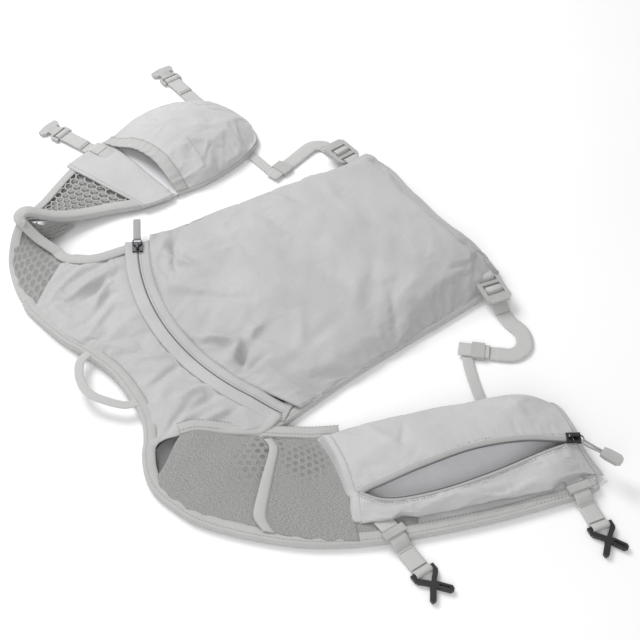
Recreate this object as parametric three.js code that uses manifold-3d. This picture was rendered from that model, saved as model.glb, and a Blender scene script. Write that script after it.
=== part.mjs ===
// Running hydration vest laid flat, outer side of the back upwards.
// Millimetres. +X to the wearer's right, +Y towards the neck, +Z up out of the back.
import * as THREE from 'three';
import { mergeVertices } from 'three/addons/utils/BufferGeometryUtils.js';
import Module from 'manifold-3d';

const wasm = await Module();
wasm.setup();

// ---------- driving dimensions ----------
const GAP = 0.3;                 // clearance between neighbouring pieces
const LINING_T = 3;              // back lining thickness
const PAD_T = 6;                 // strap panel thickness
const BIND_W = 10;               // binding width
const BIND_T = 1.2;              // binding thickness
const WEB_W = 15;                // webbing width
const WEB_T = 1.2;               // webbing thickness
const PACK_BOTTOM_Y = -178;      // bottom edge of the pack
const PACK_CROWN = 30;           // highest point of the pack above the floor
const YOKE_TOP = 12;             // top of the yoke and of the pack rim at the zip
const ZIP_RADIUS = 238;          // radius of the curved back zip
const ZIP_CENTRE_Y = -121;       // centre of that curve, on X = 0
const ZIP_HALF = 31.5;           // half angle of the zip tapes, degrees
const ZIP_HOME = 29;             // slider rest angle from the centre line, degrees
const TAPE_W = 9.4;              // zip tape width
const TAPE_T = 0.8;              // zip tape thickness
const COIL_W = 4.4;              // closed coil width
const COIL_T = 1.8;              // coil height
const SLIDER_L = 12;             // slider length
const SLIDER_W = 9.5;            // slider width
const RING_R = 4.4;              // pull ring radius to the wire centre
const WIRE_R = 0.55;             // pull ring wire radius
const PULL_L = 26;               // back zip pull tab length
const PHONE_ZIP_RADIUS = 400;    // radius of the phone pocket zip curve
const PHONE_ZIP_CENTRE = [-625, 127];
const PHONE_ZIP_ANGLES = [-35, -6.6];   // ends of the phone pocket zip, degrees
const PHONE_ZIP_HOME = -33.2;    // slider rest angle, degrees
const PHONE_PULL_TURN = -38;     // pull lies across the slider, degrees
const PHONE_MOUTH = 7;           // half opening of the pocket mouth at mid length
const PHONE_TOP = 20;            // top of the phone pocket
const GEL_TOP = 24;              // top of the gel pocket
const MESH_POCKET_TOP = 13.5;    // top of the mesh pocket
const POCKET_WALL = 1.5;         // pocket fabric thickness
const BUCKLE_W = 25;             // ladder buckle width
const BUCKLE_L = 33;             // ladder buckle length
const BUCKLE_T = 3;              // ladder buckle thickness
const BUCKLE_Z = 11;             // underside of the ladder buckle
const SLOT_W = WEB_W + 2;        // webbing slots in the buckles and hooks
const KEEPER_L = 12;             // keeper sleeve length
const HOOK_T = 3;                // sternum hook thickness

const OUTLINE_STEPS = 4;
const BASE_Z = LINING_T + GAP;
const ZIP_Z = YOKE_TOP + GAP;
const PAD_TOP = PAD_T + GAP;

// ---------- outlines on the floor plane, right side of the wearer at +X ----------
const PACK_SIDE = [[86, 0], [103, 0.06], [110, 0.25], [117, 0.48], [123, 0.74], [121, 1]];
const NECKLINE = [[106, 203], [62, 196], [29, 185], [-4, 178], [-40, 178], [-78, 189], [-106, 203]];
const YOKE_RIGHT = [[126, 89], [130, 98], [136, 124], [148, 144]];
const YOKE_LEFT = [[-94, 163], [-99, 152], [-121, 124], [-130, 108], [-126, 89]];
const RIGHT_SHOULDER = [
  [149, 146], [162, 150], [179, 160], [189, 150], [186, 111], [185, 98], [213, 129], [237, 117],
  [200, 165], [170, 191], [140, 203], [107, 204],
];
const RIGHT_NET = [[184, 96], [178, 54], [244, 79], [262, 72], [237, 116], [214, 128]];
const RIGHT_PAD = [
  [177, 52], [170, 40], [166, -19], [172, -57], [183, -86], [198, -101], [228, -100], [268, -88],
  [284, -66], [290, -26], [278, 22], [263, 71], [244, 77],
];
const GEL_POCKET = [
  [170, 10], [200, 9], [236, 20], [277, 33], [281, 5], [288, -30], [282, -66], [267, -87],
  [228, -98], [200, -99], [184, -84], [173, -57], [167, -19],
];
const LEFT_SHOULDER = [
  [-107, 204], [-95, 163], [-100, 152], [-122, 124], [-132, 112], [-218, 162], [-174, 197], [-136, 211],
];
const LEFT_PAD = [
  [-133, 111], [-146, 91], [-161, 70], [-178, 38], [-200, -8], [-222, -54], [-243, -101], [-262, -107],
  [-300, -101], [-331, -86], [-326, -60], [-308, -1], [-287, 53], [-267, 97], [-241, 137], [-219, 161],
];
const MESH_POCKET = [
  [-143, 111], [-159, 87], [-170, 70], [-224, 92], [-250, 99], [-232, 124], [-212, 147],
];
const PHONE_POCKET = [
  [-172, 66], [-187, 36], [-209, -10], [-229, -54], [-247, -97], [-264, -101], [-298, -96], [-311, -84],
  [-307, -60], [-292, -5], [-272, 47], [-254, 91], [-226, 86],
];

// ---------- materials ----------
const material = (color, roughness, metalness = 0) =>
  new THREE.MeshStandardMaterial({ color, roughness, metalness });
const shellFabric = material(0xc6c6c4, 0.75);
const yokeFabric = material(0xbfbfbd, 0.8);
const liningFabric = material(0xa9a9a9, 0.9);
const meshFabric = material(0x9c9d9b, 0.9);
const pocketFabric = material(0xc8c8c6, 0.75);
const bindingFabric = material(0xbdbdbb, 0.8);
const webbingFabric = material(0xc8c8c6, 0.8);
const tapeFabric = material(0xb4b4b2, 0.8);
const coilPlastic = material(0x8a8a8a, 0.5);
const buckleGrey = material(0xb0b0ae, 0.45);
const hookBlack = material(0x2b2b2b, 0.4);
const gunmetal = material(0x4a4a4c, 0.35, 0.9);
const cordFabric = material(0xa0a09e, 0.8);

// ---------- geometry helpers ----------
const vec = (x, y, z) => new THREE.Vector3(x, y, z);
const radians = THREE.MathUtils.degToRad;
const mix = THREE.MathUtils.lerp;

// Closed solid between two grids of points with the same rows and columns.
function gridSolid(top, bottom) {
  const rows = top.length;
  const cols = top[0].length;
  const points = [...top.flat(), ...bottom.flat()];
  const at = (layer, i, j) => layer * rows * cols + i * cols + j;
  const index = [];
  const quad = (a, b, c, d) => index.push(a, b, c, a, c, d);
  for (let i = 0; i < rows - 1; i += 1) {
    for (let j = 0; j < cols - 1; j += 1) {
      quad(at(0, i, j), at(0, i + 1, j), at(0, i + 1, j + 1), at(0, i, j + 1));
      quad(at(1, i, j), at(1, i, j + 1), at(1, i + 1, j + 1), at(1, i + 1, j));
    }
    quad(at(0, i, 0), at(1, i, 0), at(1, i + 1, 0), at(0, i + 1, 0));
    quad(at(0, i, cols - 1), at(0, i + 1, cols - 1), at(1, i + 1, cols - 1), at(1, i, cols - 1));
  }
  for (let j = 0; j < cols - 1; j += 1) {
    quad(at(0, 0, j), at(0, 0, j + 1), at(1, 0, j + 1), at(1, 0, j));
    quad(at(0, rows - 1, j), at(1, rows - 1, j), at(1, rows - 1, j + 1), at(0, rows - 1, j + 1));
  }
  let volume = 0;
  for (let k = 0; k < index.length; k += 3) {
    const [a, b, c] = [points[index[k]], points[index[k + 1]], points[index[k + 2]]];
    volume += a.dot(b.clone().cross(c));
  }
  if (volume < 0) index.reverse();
  const geometry = new THREE.BufferGeometry().setFromPoints(points);
  geometry.setIndex(index);
  return geometry;
}

// Smooth curve through 2-D or 3-D control points.
function smooth(points, closed = false, steps = OUTLINE_STEPS) {
  const controls = points.map(([x, y, z = 0]) => vec(x, y, z));
  const curve = new THREE.CatmullRomCurve3(controls, closed, 'centripetal');
  const spans = closed ? points.length : points.length - 1;
  const result = curve.getPoints(spans * steps);
  if (closed) result.pop();
  return result;
}

// Polygon moved inwards by a distance; the points run either way round.
function inset(outline, distance) {
  const area = THREE.ShapeUtils.area(outline.map(([x, y]) => new THREE.Vector2(x, y)));
  const turn = Math.sign(area);
  return outline.map((p, i) => {
    const before = outline[(i + outline.length - 1) % outline.length];
    const after = outline[(i + 1) % outline.length];
    const a = vec(p[0] - before[0], p[1] - before[1], 0).normalize();
    const b = vec(after[0] - p[0], after[1] - p[1], 0).normalize();
    const normal = vec(-a.y - b.y, a.x + b.x, 0).normalize();
    const reach = turn * distance / Math.max(0.5, normal.dot(vec(-a.y, a.x, 0)));
    return [p[0] + normal.x * reach, p[1] + normal.y * reach];
  });
}

// Flat panel between two heights.
function slab(outline, low, high, holes = []) {
  const toPoints = (list) => list.map(([x, y]) => new THREE.Vector2(x, y));
  const shape = new THREE.Shape(toPoints(outline));
  shape.holes = holes.map((hole) => new THREE.Path(toPoints(hole)));
  const geometry = new THREE.ExtrudeGeometry(shape, { depth: high - low, bevelEnabled: false });
  geometry.translate(0, 0, low);
  return geometry;
}

// Strip of rectangular section along a path of points at its underside.
// The side direction is level, square to the path unless it is given.
function ribbon(path, width, thickness, fixedSide = null) {
  const top = [];
  const bottom = [];
  path.forEach((p, i) => {
    const ahead = path[Math.min(i + 1, path.length - 1)];
    const behind = path[Math.max(i - 1, 0)];
    const tangent = ahead.clone().sub(behind).normalize();
    const side = fixedSide ?? vec(-tangent.y, tangent.x, 0).normalize();
    const up = tangent.clone().cross(side).normalize();
    const across = [-width / 2, width / 2].map((s) => p.clone().addScaledVector(side, s));
    bottom.push(across);
    top.push(across.map((q) => q.clone().addScaledVector(up, thickness)));
  });
  return gridSolid(top, bottom);
}

// Points along a level arc about a centre, angles in degrees from +X.
function arc(centre, radius, from, to, z, steps) {
  return Array.from({ length: steps + 1 }, (_, i) => {
    const a = radians(mix(from, to, i / steps));
    const r = typeof radius === 'function' ? radius(i / steps) : radius;
    return vec(centre[0] + r * Math.cos(a), centre[1] + r * Math.sin(a), z);
  });
}

// Strip between two arcs of equal step count.
function arcBand(inner, outer, thickness) {
  const bottom = inner.map((p, i) => [p, outer[i]]);
  const top = bottom.map((row) => row.map((p) => p.clone().setZ(p.z + thickness)));
  return gridSolid(top, bottom);
}

function toManifold(geometry) {
  const bare = geometry.clone();
  bare.deleteAttribute('normal');
  bare.deleteAttribute('uv');
  const merged = mergeVertices(bare, 1e-4);
  return new wasm.Manifold(new wasm.Mesh({
    numProp: 3,
    vertProperties: new Float32Array(merged.attributes.position.array),
    triVerts: new Uint32Array(merged.index.array),
  }));
}

function fromManifold(solid) {
  const mesh = solid.getMesh();
  const geometry = new THREE.BufferGeometry();
  geometry.setAttribute('position', new THREE.BufferAttribute(mesh.vertProperties, 3));
  geometry.setIndex(new THREE.BufferAttribute(mesh.triVerts, 1));
  return geometry;
}

const subtract = (body, ...tools) =>
  fromManifold(tools.reduce((rest, tool) => rest.subtract(toManifold(tool)), toManifold(body)));
const unite = (...bodies) =>
  fromManifold(bodies.slice(1).reduce((sum, body) => sum.add(toManifold(body)), toManifold(bodies[0])));

const vest = new THREE.Group();
vest.name = 'hydration_vest';

function add(name, geometry, look, place = null) {
  const mesh = new THREE.Mesh(geometry, look);
  mesh.name = name;
  if (place) {
    mesh.position.set(...place.at);
    mesh.rotation.set(place.pitch ?? 0, place.roll ?? 0, place.turn ?? 0, 'ZYX');
  }
  vest.add(mesh);
}

const flat = (points) => points.map((p) => [p.x, p.y]);
const panel = (outline, low, high) => slab(inset(outline, GAP / 2), low, high);

// ---------- back panel, pack and yoke ----------
const zipCentre = [0, ZIP_CENTRE_Y];
const upAngle = (fromCentreLine) => 90 - fromCentreLine;
const packHalfWidth = (v) => {
  const k = PACK_SIDE.findIndex((point, i) => i > 0 && v <= point[1]);
  const [a, b] = [PACK_SIDE[k - 1], PACK_SIDE[k]];
  return mix(a[0], b[0], (v - a[1]) / (b[1] - a[1]));
};
const packRimY = (x) => ZIP_CENTRE_Y + Math.sqrt((ZIP_RADIUS - 1) ** 2 - x * x);
const packPoint = (u, v, low) => {
  const x = u * packHalfWidth(v);
  return vec(x, mix(PACK_BOTTOM_Y, packRimY(x), v), low);
};
const packCrown = (v) => {
  if (v >= 0.94) return YOKE_TOP;
  const rise = Math.sin(Math.PI * Math.min(1, 0.5 + v * 0.53));
  return mix(YOKE_TOP, PACK_CROWN, Math.max(0, rise)) * (v < 0.03 ? 0.72 : 1);
};
const packHeight = (u, v) => {
  const edge = v >= 0.94 ? YOKE_TOP : BASE_Z + 4;
  return mix(edge, packCrown(v), 1 - Math.abs(u) ** 3);
};
const packRows = [0, 0.02, 0.06, 0.13, 0.25, 0.38, 0.52, 0.66, 0.79, 0.88, 0.94, 1];
const packCols = Array.from({ length: 13 }, (_, j) => Math.sin(((j - 6) / 6) * (Math.PI / 2)));
add('pack_shell', gridSolid(
  packRows.map((v) => packCols.map((u) => packPoint(u, v, packHeight(u, v)))),
  packRows.map((v) => packCols.map((u) => packPoint(u, v, BASE_Z))),
), shellFabric);

const packLeft = [1, 0.74, 0.48, 0.25, 0.06, 0].map((v) => packPoint(-1, v, 0));
const packRight = [0, 0.06, 0.25, 0.48, 0.74, 1].map((v) => packPoint(1, v, 0));
const backOutline = [
  ...flat(packRight), ...YOKE_RIGHT, ...flat(smooth(NECKLINE)), ...YOKE_LEFT, ...flat(packLeft),
];
add('back_lining', slab(backOutline, 0, LINING_T), liningFabric);

const yokeArc = arc(zipCentre, ZIP_RADIUS + 1, upAngle(-30.5), upAngle(30.5), 0, 16);
add('back_yoke', slab(inset(
  [...flat(yokeArc), ...YOKE_RIGHT, ...flat(smooth(NECKLINE)), ...YOKE_LEFT], GAP / 2,
), BASE_Z, YOKE_TOP), yokeFabric);

// ---------- curved back zip ----------
const zipBand = (inner, outer, z, thickness) => arcBand(
  arc(zipCentre, inner, upAngle(-ZIP_HALF), upAngle(ZIP_HALF), z, 24),
  arc(zipCentre, outer, upAngle(-ZIP_HALF), upAngle(ZIP_HALF), z, 24),
  thickness,
);
const coilEdge = COIL_W / 2;
const tapeStart = coilEdge + 0.4;
add('back_zip_tape_lower',
  zipBand(ZIP_RADIUS - tapeStart - TAPE_W, ZIP_RADIUS - tapeStart, ZIP_Z, TAPE_T), tapeFabric);
add('back_zip_tape_upper',
  zipBand(ZIP_RADIUS + tapeStart, ZIP_RADIUS + tapeStart + TAPE_W, ZIP_Z, TAPE_T), tapeFabric);
add('back_zip_coil',
  zipBand(ZIP_RADIUS - coilEdge, ZIP_RADIUS + coilEdge, ZIP_Z, COIL_T), coilPlastic);

// Slider, ring and their clearances, along local +X, with z = 0 at the underside of the tapes.
const SLIDER_LOW = TAPE_T + GAP;
const CHANNEL_TOP = COIL_T + GAP;
const SLIDER_TOP = CHANNEL_TOP + 1.1;
const BRIDGE_HOLE = 2 * WIRE_R + 0.8;
const BRIDGE_TOP = SLIDER_TOP + BRIDGE_HOLE + 0.8;
const RING_Z = SLIDER_TOP + BRIDGE_HOLE / 2;

// Solid from a side-on outline (along X, up Z), centred across Y.
function sideExtrude(outline, width, holes = []) {
  const geometry = slab(outline, -width / 2, width / 2, holes);
  geometry.rotateX(Math.PI / 2);
  return geometry;
}

function zipSlider() {
  const half = SLIDER_W / 2;
  const channel = coilEdge + GAP;
  const section = [
    [-half, SLIDER_LOW], [-channel, SLIDER_LOW], [-channel, CHANNEL_TOP], [channel, CHANNEL_TOP],
    [channel, SLIDER_LOW], [half, SLIDER_LOW], [half, SLIDER_TOP], [-half, SLIDER_TOP],
  ];
  const body = sideExtrude(section, SLIDER_L);
  body.rotateZ(Math.PI / 2);
  const bridgeSide = [
    [-4.6, SLIDER_TOP - 0.5], [4.6, SLIDER_TOP - 0.5], [4.2, BRIDGE_TOP - 0.6], [3.2, BRIDGE_TOP],
    [-3.2, BRIDGE_TOP], [-4.2, BRIDGE_TOP - 0.6],
  ];
  const bridge = sideExtrude(bridgeSide, 2.2);
  const tunnel = sideExtrude([
    [-3, SLIDER_TOP], [3, SLIDER_TOP], [3, SLIDER_TOP + BRIDGE_HOLE], [-3, SLIDER_TOP + BRIDGE_HOLE],
  ], 5);
  return unite(body, subtract(bridge, tunnel));
}

function pullRing() {
  const ring = new THREE.TorusGeometry(RING_R, WIRE_R, 8, 24);
  ring.translate(RING_R, 0, RING_Z);
  return ring;
}

const RING_END = 2 * RING_R + WIRE_R + GAP;
const zipPlace = (centre, radius, angle, z) => ({
  at: [centre[0] + radius * Math.cos(radians(angle)), centre[1] + radius * Math.sin(radians(angle)), z],
  turn: radians(angle) - Math.PI / 2,
});
const backSlider = zipPlace(zipCentre, ZIP_RADIUS, upAngle(ZIP_HOME), ZIP_Z);
add('back_zip_slider', zipSlider(), gunmetal, backSlider);
add('back_zip_ring', pullRing(), gunmetal, backSlider);
add('back_zip_pull', ribbon(
  [vec(RING_END, 0, RING_Z - 1), vec(RING_END + PULL_L * 0.5, 0, RING_Z - 1), vec(RING_END + PULL_L, 0, RING_Z - 1)],
  8, 2,
), webbingFabric, backSlider);

// ---------- shoulders and straps ----------
add('right_shoulder_mesh', panel(RIGHT_SHOULDER, 0, PAD_T), meshFabric);
add('right_net_panel', panel(RIGHT_NET, 0, PAD_T), meshFabric);
add('right_strap_pad', panel(RIGHT_PAD, 0, PAD_T), pocketFabric);
add('left_shoulder_mesh', panel(LEFT_SHOULDER, 0, PAD_T), meshFabric);
add('left_strap_pad', panel(LEFT_PAD, 0, PAD_T), meshFabric);

// ---------- pockets ----------
// Hollow pocket: outer outline less a cavity that runs out through the points given past its mouth.
const gelCavity = [
  [171.6, 40], [168.8, -19], [174.6, -56], [185.4, -82.6], [200.6, -97.2], [228, -96.3],
  [266, -85.4], [280.4, -65.4], [286.3, -30], [279, 8], [271, 60],
];
add('gel_pocket', subtract(
  panel(GEL_POCKET, PAD_TOP, GEL_TOP),
  slab(gelCavity, PAD_TOP + POCKET_WALL, GEL_TOP - POCKET_WALL),
), pocketFabric);
const meshCavity = [
  [-136, 121], [-160, 89], [-171, 72.5], [-224, 93.8], [-247, 100.4], [-230, 124], [-206, 160],
];
add('mesh_pocket', subtract(
  panel(MESH_POCKET, PAD_TOP, MESH_POCKET_TOP),
  slab(meshCavity, PAD_TOP + 1, MESH_POCKET_TOP - 1),
), meshFabric);

const phoneArc = (offset, z, steps = 20) => arc(
  PHONE_ZIP_CENTRE, offset, PHONE_ZIP_ANGLES[0], PHONE_ZIP_ANGLES[1], z, steps,
);
const lip = (side, extra) => (s) =>
  PHONE_ZIP_RADIUS + side * (tapeStart + extra + PHONE_MOUTH * Math.sin(Math.PI * s));
const mouth = [...phoneArc(lip(-1, 0), 0).slice(1, -1), ...phoneArc(lip(1, 0), 0).slice(1, -1).reverse()];
add('phone_pocket', subtract(
  panel(PHONE_POCKET, PAD_TOP, PHONE_TOP),
  slab(inset(PHONE_POCKET, POCKET_WALL + GAP / 2), PAD_TOP + POCKET_WALL, PHONE_TOP - POCKET_WALL),
  slab(flat(mouth), PHONE_TOP - 2 * POCKET_WALL, PHONE_TOP + 1),
), pocketFabric);
const phoneTape = (side) => arcBand(
  phoneArc(lip(side, 0.6), PHONE_TOP + GAP), phoneArc(lip(side, 5.6), PHONE_TOP + GAP), TAPE_T,
);
add('phone_zip_tape_inner', phoneTape(1), tapeFabric);
add('phone_zip_tape_outer', phoneTape(-1), tapeFabric);
add('phone_zip_coil', arcBand(
  arc(PHONE_ZIP_CENTRE, PHONE_ZIP_RADIUS - coilEdge, PHONE_ZIP_HOME - 1.6, PHONE_ZIP_HOME + 0.6, PHONE_TOP + GAP, 4),
  arc(PHONE_ZIP_CENTRE, PHONE_ZIP_RADIUS + coilEdge, PHONE_ZIP_HOME - 1.6, PHONE_ZIP_HOME + 0.6, PHONE_TOP + GAP, 4),
  COIL_T,
), coilPlastic);
const phoneSlider = zipPlace(PHONE_ZIP_CENTRE, PHONE_ZIP_RADIUS, PHONE_ZIP_HOME, PHONE_TOP + GAP);
add('phone_zip_slider', zipSlider(), gunmetal, phoneSlider);
const phonePull = { at: phoneSlider.at, turn: phoneSlider.turn + radians(PHONE_PULL_TURN) };
add('phone_zip_ring', pullRing(), gunmetal, phonePull);
const cordLow = RING_Z - 1.2;
add('phone_pull_cord', ribbon(
  [vec(RING_END, 0, cordLow), vec(RING_END + 8, 0, cordLow), vec(RING_END + 16, 0, cordLow)], 5, 2.4,
), cordFabric, phonePull);
const gripStart = RING_END + 16 + GAP;
const gripOutline = [
  [gripStart, -4], [gripStart + 5, -5], [gripStart + 15, -5], [gripStart + 18, -2.5],
  [gripStart + 18, 2.5], [gripStart + 15, 5], [gripStart + 5, 5], [gripStart, 4],
];
add('phone_pull_grip', slab(gripOutline, RING_Z - 2, RING_Z + 2), buckleGrey, phonePull);

// ---------- bands and bindings ----------
const bindingAlong = (points, low, width = BIND_W) =>
  ribbon(smooth(points.map(([x, y, lift = 0]) => [x, y, low + lift]), false, 3), width, BIND_T);
add('neck_binding', bindingAlong(
  [[101, 195], [62, 190], [29, 179.5], [-4, 172.5], [-40, 172.5], [-78, 183], [-100, 194]], YOKE_TOP + GAP,
), bindingFabric);
add('right_outer_binding', bindingAlong(
  [[121, 199], [139, 197.5], [167, 186], [196, 161], [230, 116], [257, 70], [268, 38]], PAD_TOP,
), bindingFabric);
add('right_armhole_binding', bindingAlong(
  [[155.5, 152.5], [167, 157, 4.7], [180, 163, 13.7], [189.5, 158, 19.7], [191, 141, 12.7], [190.5, 118, 3.7],
    [189.5, 100, 1.7], [185, 74, 0.5], [181, 52], [175.5, 30]],
  PAD_TOP, 8,
), bindingFabric);
add('left_outer_binding', bindingAlong(
  [[-111, 200], [-136, 205.5], [-171, 192], [-204, 167], [-236.5, 133.5], [-261.5, 95], [-281.5, 51],
    [-302, -2], [-320, -61], [-324, -78]],
  PAD_TOP,
), bindingFabric);
add('left_armhole_binding', bindingAlong(
  [[-100.5, 161], [-104.5, 155], [-126.5, 127.5], [-137, 113.5]], PAD_TOP, 8,
), bindingFabric);
add('gel_pocket_band', bindingAlong(
  [[173, 4], [200, 3.5], [236, 14], [272, 26]], GEL_TOP + GAP,
), bindingFabric);
add('mesh_pocket_band', bindingAlong(
  [[-147, 105], [-178, 122], [-207, 137]], MESH_POCKET_TOP + GAP,
), bindingFabric);
const sideBinding = (side) => ribbon(
  [0.17, 0.25, 0.48, 0.74, 0.88].map((v) => packPoint(side, v, LINING_T + 0.2).add(vec(side * 2, 0, 0))), 3, 3,
);
add('right_side_binding', sideBinding(1), bindingFabric);
add('left_side_binding', sideBinding(-1), bindingFabric);
add('hang_loop', ribbon(smooth(
  [[29, 168, 13.8], [31, 184, 14.6], [22, 196, 15.5], [-2, 205, 16], [-24, 196, 15.5], [-33, 184, 14.6], [-33, 164, 13.8]],
  false, 4,
), 8, 1.2), webbingFabric);

// ---------- side straps ----------
// Ladder buckle along local +X, from the sewn loop outwards, underside at z = 0.
const rect = (x0, x1, half) => [[x0, -half], [x1, -half], [x1, half], [x0, half]];
const END_SLOT = [3, 7.5];
const TAB_PLAY = 0.8;                      // room for the end bar to turn in its sewn loop
const SLOT_1 = [11, 15.5];
const SLOT_2 = [19.5, 24];
const WEB_LOW = 1;                         // underside of webbing that lies on the floor
function ladderBuckle() {
  const half = BUCKLE_W / 2;
  const outline = [
    [0, -half + 6], [2, -half + 2], [6, -half], [BUCKLE_L - 4, -half], [BUCKLE_L, -half + 4],
    [BUCKLE_L, half - 4], [BUCKLE_L - 4, half], [6, half], [2, half - 2], [0, half - 6],
  ];
  const slots = [END_SLOT, SLOT_1, SLOT_2].map(([x0, x1]) => slab(rect(x0, x1, SLOT_W / 2), -1, BUCKLE_T + 1));
  return subtract(slab(outline, 0, BUCKLE_T), ...slots);
}

// Webbing that rises through one slot, crosses the bar and drops through the other.
function buckleRoll() {
  const reachX = GAP + WEB_T;
  const path = [
    [38, WEB_LOW + WEB_T - BUCKLE_Z], [31, -4], [25, -1.7], [SLOT_2[0] + reachX, -0.8],
    [SLOT_2[0] + reachX, BUCKLE_T + reachX], [SLOT_1[1] - reachX, BUCKLE_T + reachX], [SLOT_1[1] - reachX, -1.5],
  ].map(([x, z]) => vec(x, 0, z));
  return ribbon(path, WEB_W, WEB_T, vec(0, 1, 0));
}

// Sewn loop through the buckle's end slot and back to the pack.
function buckleTab() {
  const turnX = END_SLOT[0] + TAB_PLAY;
  const high = BUCKLE_T + TAB_PLAY;
  const path = [
    [-8.4, high + 2.3], [-3, high + 0.9], [turnX - 0.5, high], [turnX, high - 0.4], [turnX, 0.2 - TAB_PLAY],
    [turnX - 0.6, -TAB_PLAY], [turnX - 1.6, -TAB_PLAY],
  ];
  return ribbon(path.map(([x, z]) => vec(x, 0, z)), WEB_W, 1, vec(0, 1, 0));
}

// Keeper sleeve round two layers of webbing, along local +X, standing on z = 0.
function keeper() {
  const half = WEB_W / 2 + 0.4;
  const wall = 0.7;
  const high = 2 * WEB_T + 3 * GAP;
  const section = [[-half - wall, 0], [half + wall, 0], [half + wall, high + 2 * wall], [-half - wall, high + 2 * wall]];
  const hole = [[-half, wall], [half, wall], [half, high + wall], [-half, high + wall]];
  const sleeve = sideExtrude(section, KEEPER_L, [hole]);
  sleeve.rotateZ(Math.PI / 2);
  return sleeve;
}

const RIBBON_W = 10;                       // ribbon sewn to the strap end
const TAIL_LOW = WEB_LOW + WEB_T + GAP;
// Webbing points are X and the share of the way in Y from the buckle's exit to the tail's first point.
const SIDES = {
  left: {
    buckle: [-101, PACK_BOTTOM_Y + 21], turn: 180 - 13, exitY: PACK_BOTTOM_Y + 29.8,
    webbing: [[-138.8, 0], [-150, 0.04], [-166, 0.03], [-180, 0.24], [-182, 0.56], [-172, 0.86]],
    tail: [[-166, -105.6], [-156, -95], [-150, -88.5]],
    ribbonStart: [1.6, WEB_W / 2 + 3.6], ribbon: [[-185, -76], [-222.5, -60.5]],
  },
  right: {
    buckle: [101, PACK_BOTTOM_Y + 26], turn: 3, exitY: PACK_BOTTOM_Y + 28,
    webbing: [[141.3, 0], [147, 0.04], [152, 0.23], [149, 0.52], [145, 0.8]],
    tail: [[142.4, -99.6], [139.5, -88], [137, -78]],
    ribbonStart: [5.2, -WEB_W / 2 - 2.6], ribbon: [[162, -81], [179, -80]],
  },
};
// Point beside a line from a to b: a distance on past b, and one to its left.
const beside = (a, b, [past, left]) => {
  const angle = Math.atan2(b[1] - a[1], b[0] - a[0]);
  return [
    b[0] + past * Math.cos(angle) - left * Math.sin(angle),
    b[1] + past * Math.sin(angle) + left * Math.cos(angle),
  ];
};
for (const [side, path] of Object.entries(SIDES)) {
  const place = { at: [...path.buckle, BUCKLE_Z], turn: radians(path.turn) };
  add(`${side}_buckle`, ladderBuckle(), buckleGrey, place);
  add(`${side}_buckle_tab`, buckleTab(), webbingFabric, place);
  add(`${side}_buckle_webbing`, buckleRoll(), webbingFabric, place);
  const [a, b] = path.tail;
  const way = [...path.webbing.map(([x, share]) => [x, mix(path.exitY, a[1], share)]), a, b];
  const run = smooth(way.map(([x, y]) => [x, y, WEB_LOW]), false, 4);
  add(`${side}_side_webbing`, ribbon(run, WEB_W, WEB_T), webbingFabric);
  add(`${side}_side_tail`, ribbon(path.tail.map(([x, y]) => vec(x, y, TAIL_LOW)), WEB_W, WEB_T), webbingFabric);
  const sewn = [beside(a, b, path.ribbonStart), ...path.ribbon].map(([x, y]) => vec(x, y, WEB_LOW));
  add(`${side}_strap_ribbon`, ribbon(sewn, RIBBON_W, 1), webbingFabric);
  const along = Math.atan2(b[1] - a[1], b[0] - a[0]);
  add(`${side}_keeper`, keeper(), tapeFabric, { at: [(a[0] + b[0]) / 2, (a[1] + b[1]) / 2, 0], turn: along });
}

// ---------- sternum straps ----------
// Each strap lies out from its sewn end; the pin is the line that it swings about.
const LEFT_STRAPS = {
  upper: { from: [-268.5, 77.5], to: [-310, 78], raised: true, clipped: true },
  lower: { from: [-320, -71], to: [-358, -62.5], raised: true, clipped: true },
};
const RIGHT_STRAPS = {
  upper: { from: [264, 45], to: [316, 64], raised: true },
  lower: { from: [275.2 + WEB_W / 2, -79], to: [330, -76], raised: false },
};
const STEP_Z = PAD_TOP + BIND_T + GAP;     // webbing sewn over the edge binding
const BAR_PLAY = 0.8;                      // room for a hook bar to turn in its webbing
const HOOK_LOW = 0.6;                      // underside of the sternum hooks
const swing = ({ from, to }) => Math.atan2(to[1] - from[1], to[0] - from[0]);
const reach = ({ from, to }) => Math.hypot(to[0] - from[0], to[1] - from[1]);

// Webbing from its sewn end over the strap edge to the hook bar, along local +X.
function sternumWebbing(barX, raised) {
  const start = raised ? [[-2, STEP_Z], [11, STEP_Z], [15, 4], [19, WEB_LOW]] : [[-2, WEB_LOW], [10, WEB_LOW]];
  const overBar = HOOK_LOW + HOOK_T + BAR_PLAY;
  const path = [
    ...start, [barX - 6, WEB_LOW], [barX - 4, WEB_LOW + 0.4], [barX - 2.8, 2.8], [barX - 2, overBar], [barX + 0.5, overBar],
  ];
  return ribbon(path.map(([x, z]) => vec(x, 0, z)), WEB_W, WEB_T, vec(0, 1, 0));
}

// Small moulded clip at the sewn end: a bar under the webbing and two cheeks beside it.
function railClip(low) {
  const half = WEB_W / 2 + GAP;
  const high = low + WEB_T + GAP + 1.9;
  const cheek = (side) => slab(rect(0, 7, 1).map(([x, y]) => [x, side * (half + 1) + y]), low, high);
  const bridge = slab(rect(0, 7, half + 2), low + WEB_T + GAP, high);
  return unite(bridge, cheek(-1), cheek(1));
}

const BAR_BACK = 13;                       // webbing bar to the crossing of the arms
const ARM_L = 16.5;                        // crossing to the tip of a lower arm
const CHEEK_W = 3;                         // hook cheeks beside the webbing
// Second layer of webbing, turned back and sewn down near the strap edge.
function webbingFold(low) {
  const start = low === STEP_Z ? [1, 10] : [4.5, 22];
  return ribbon(start.map((x) => vec(x, 0, low + WEB_T + GAP)), WEB_W, WEB_T, vec(0, 1, 0));
}

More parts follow.
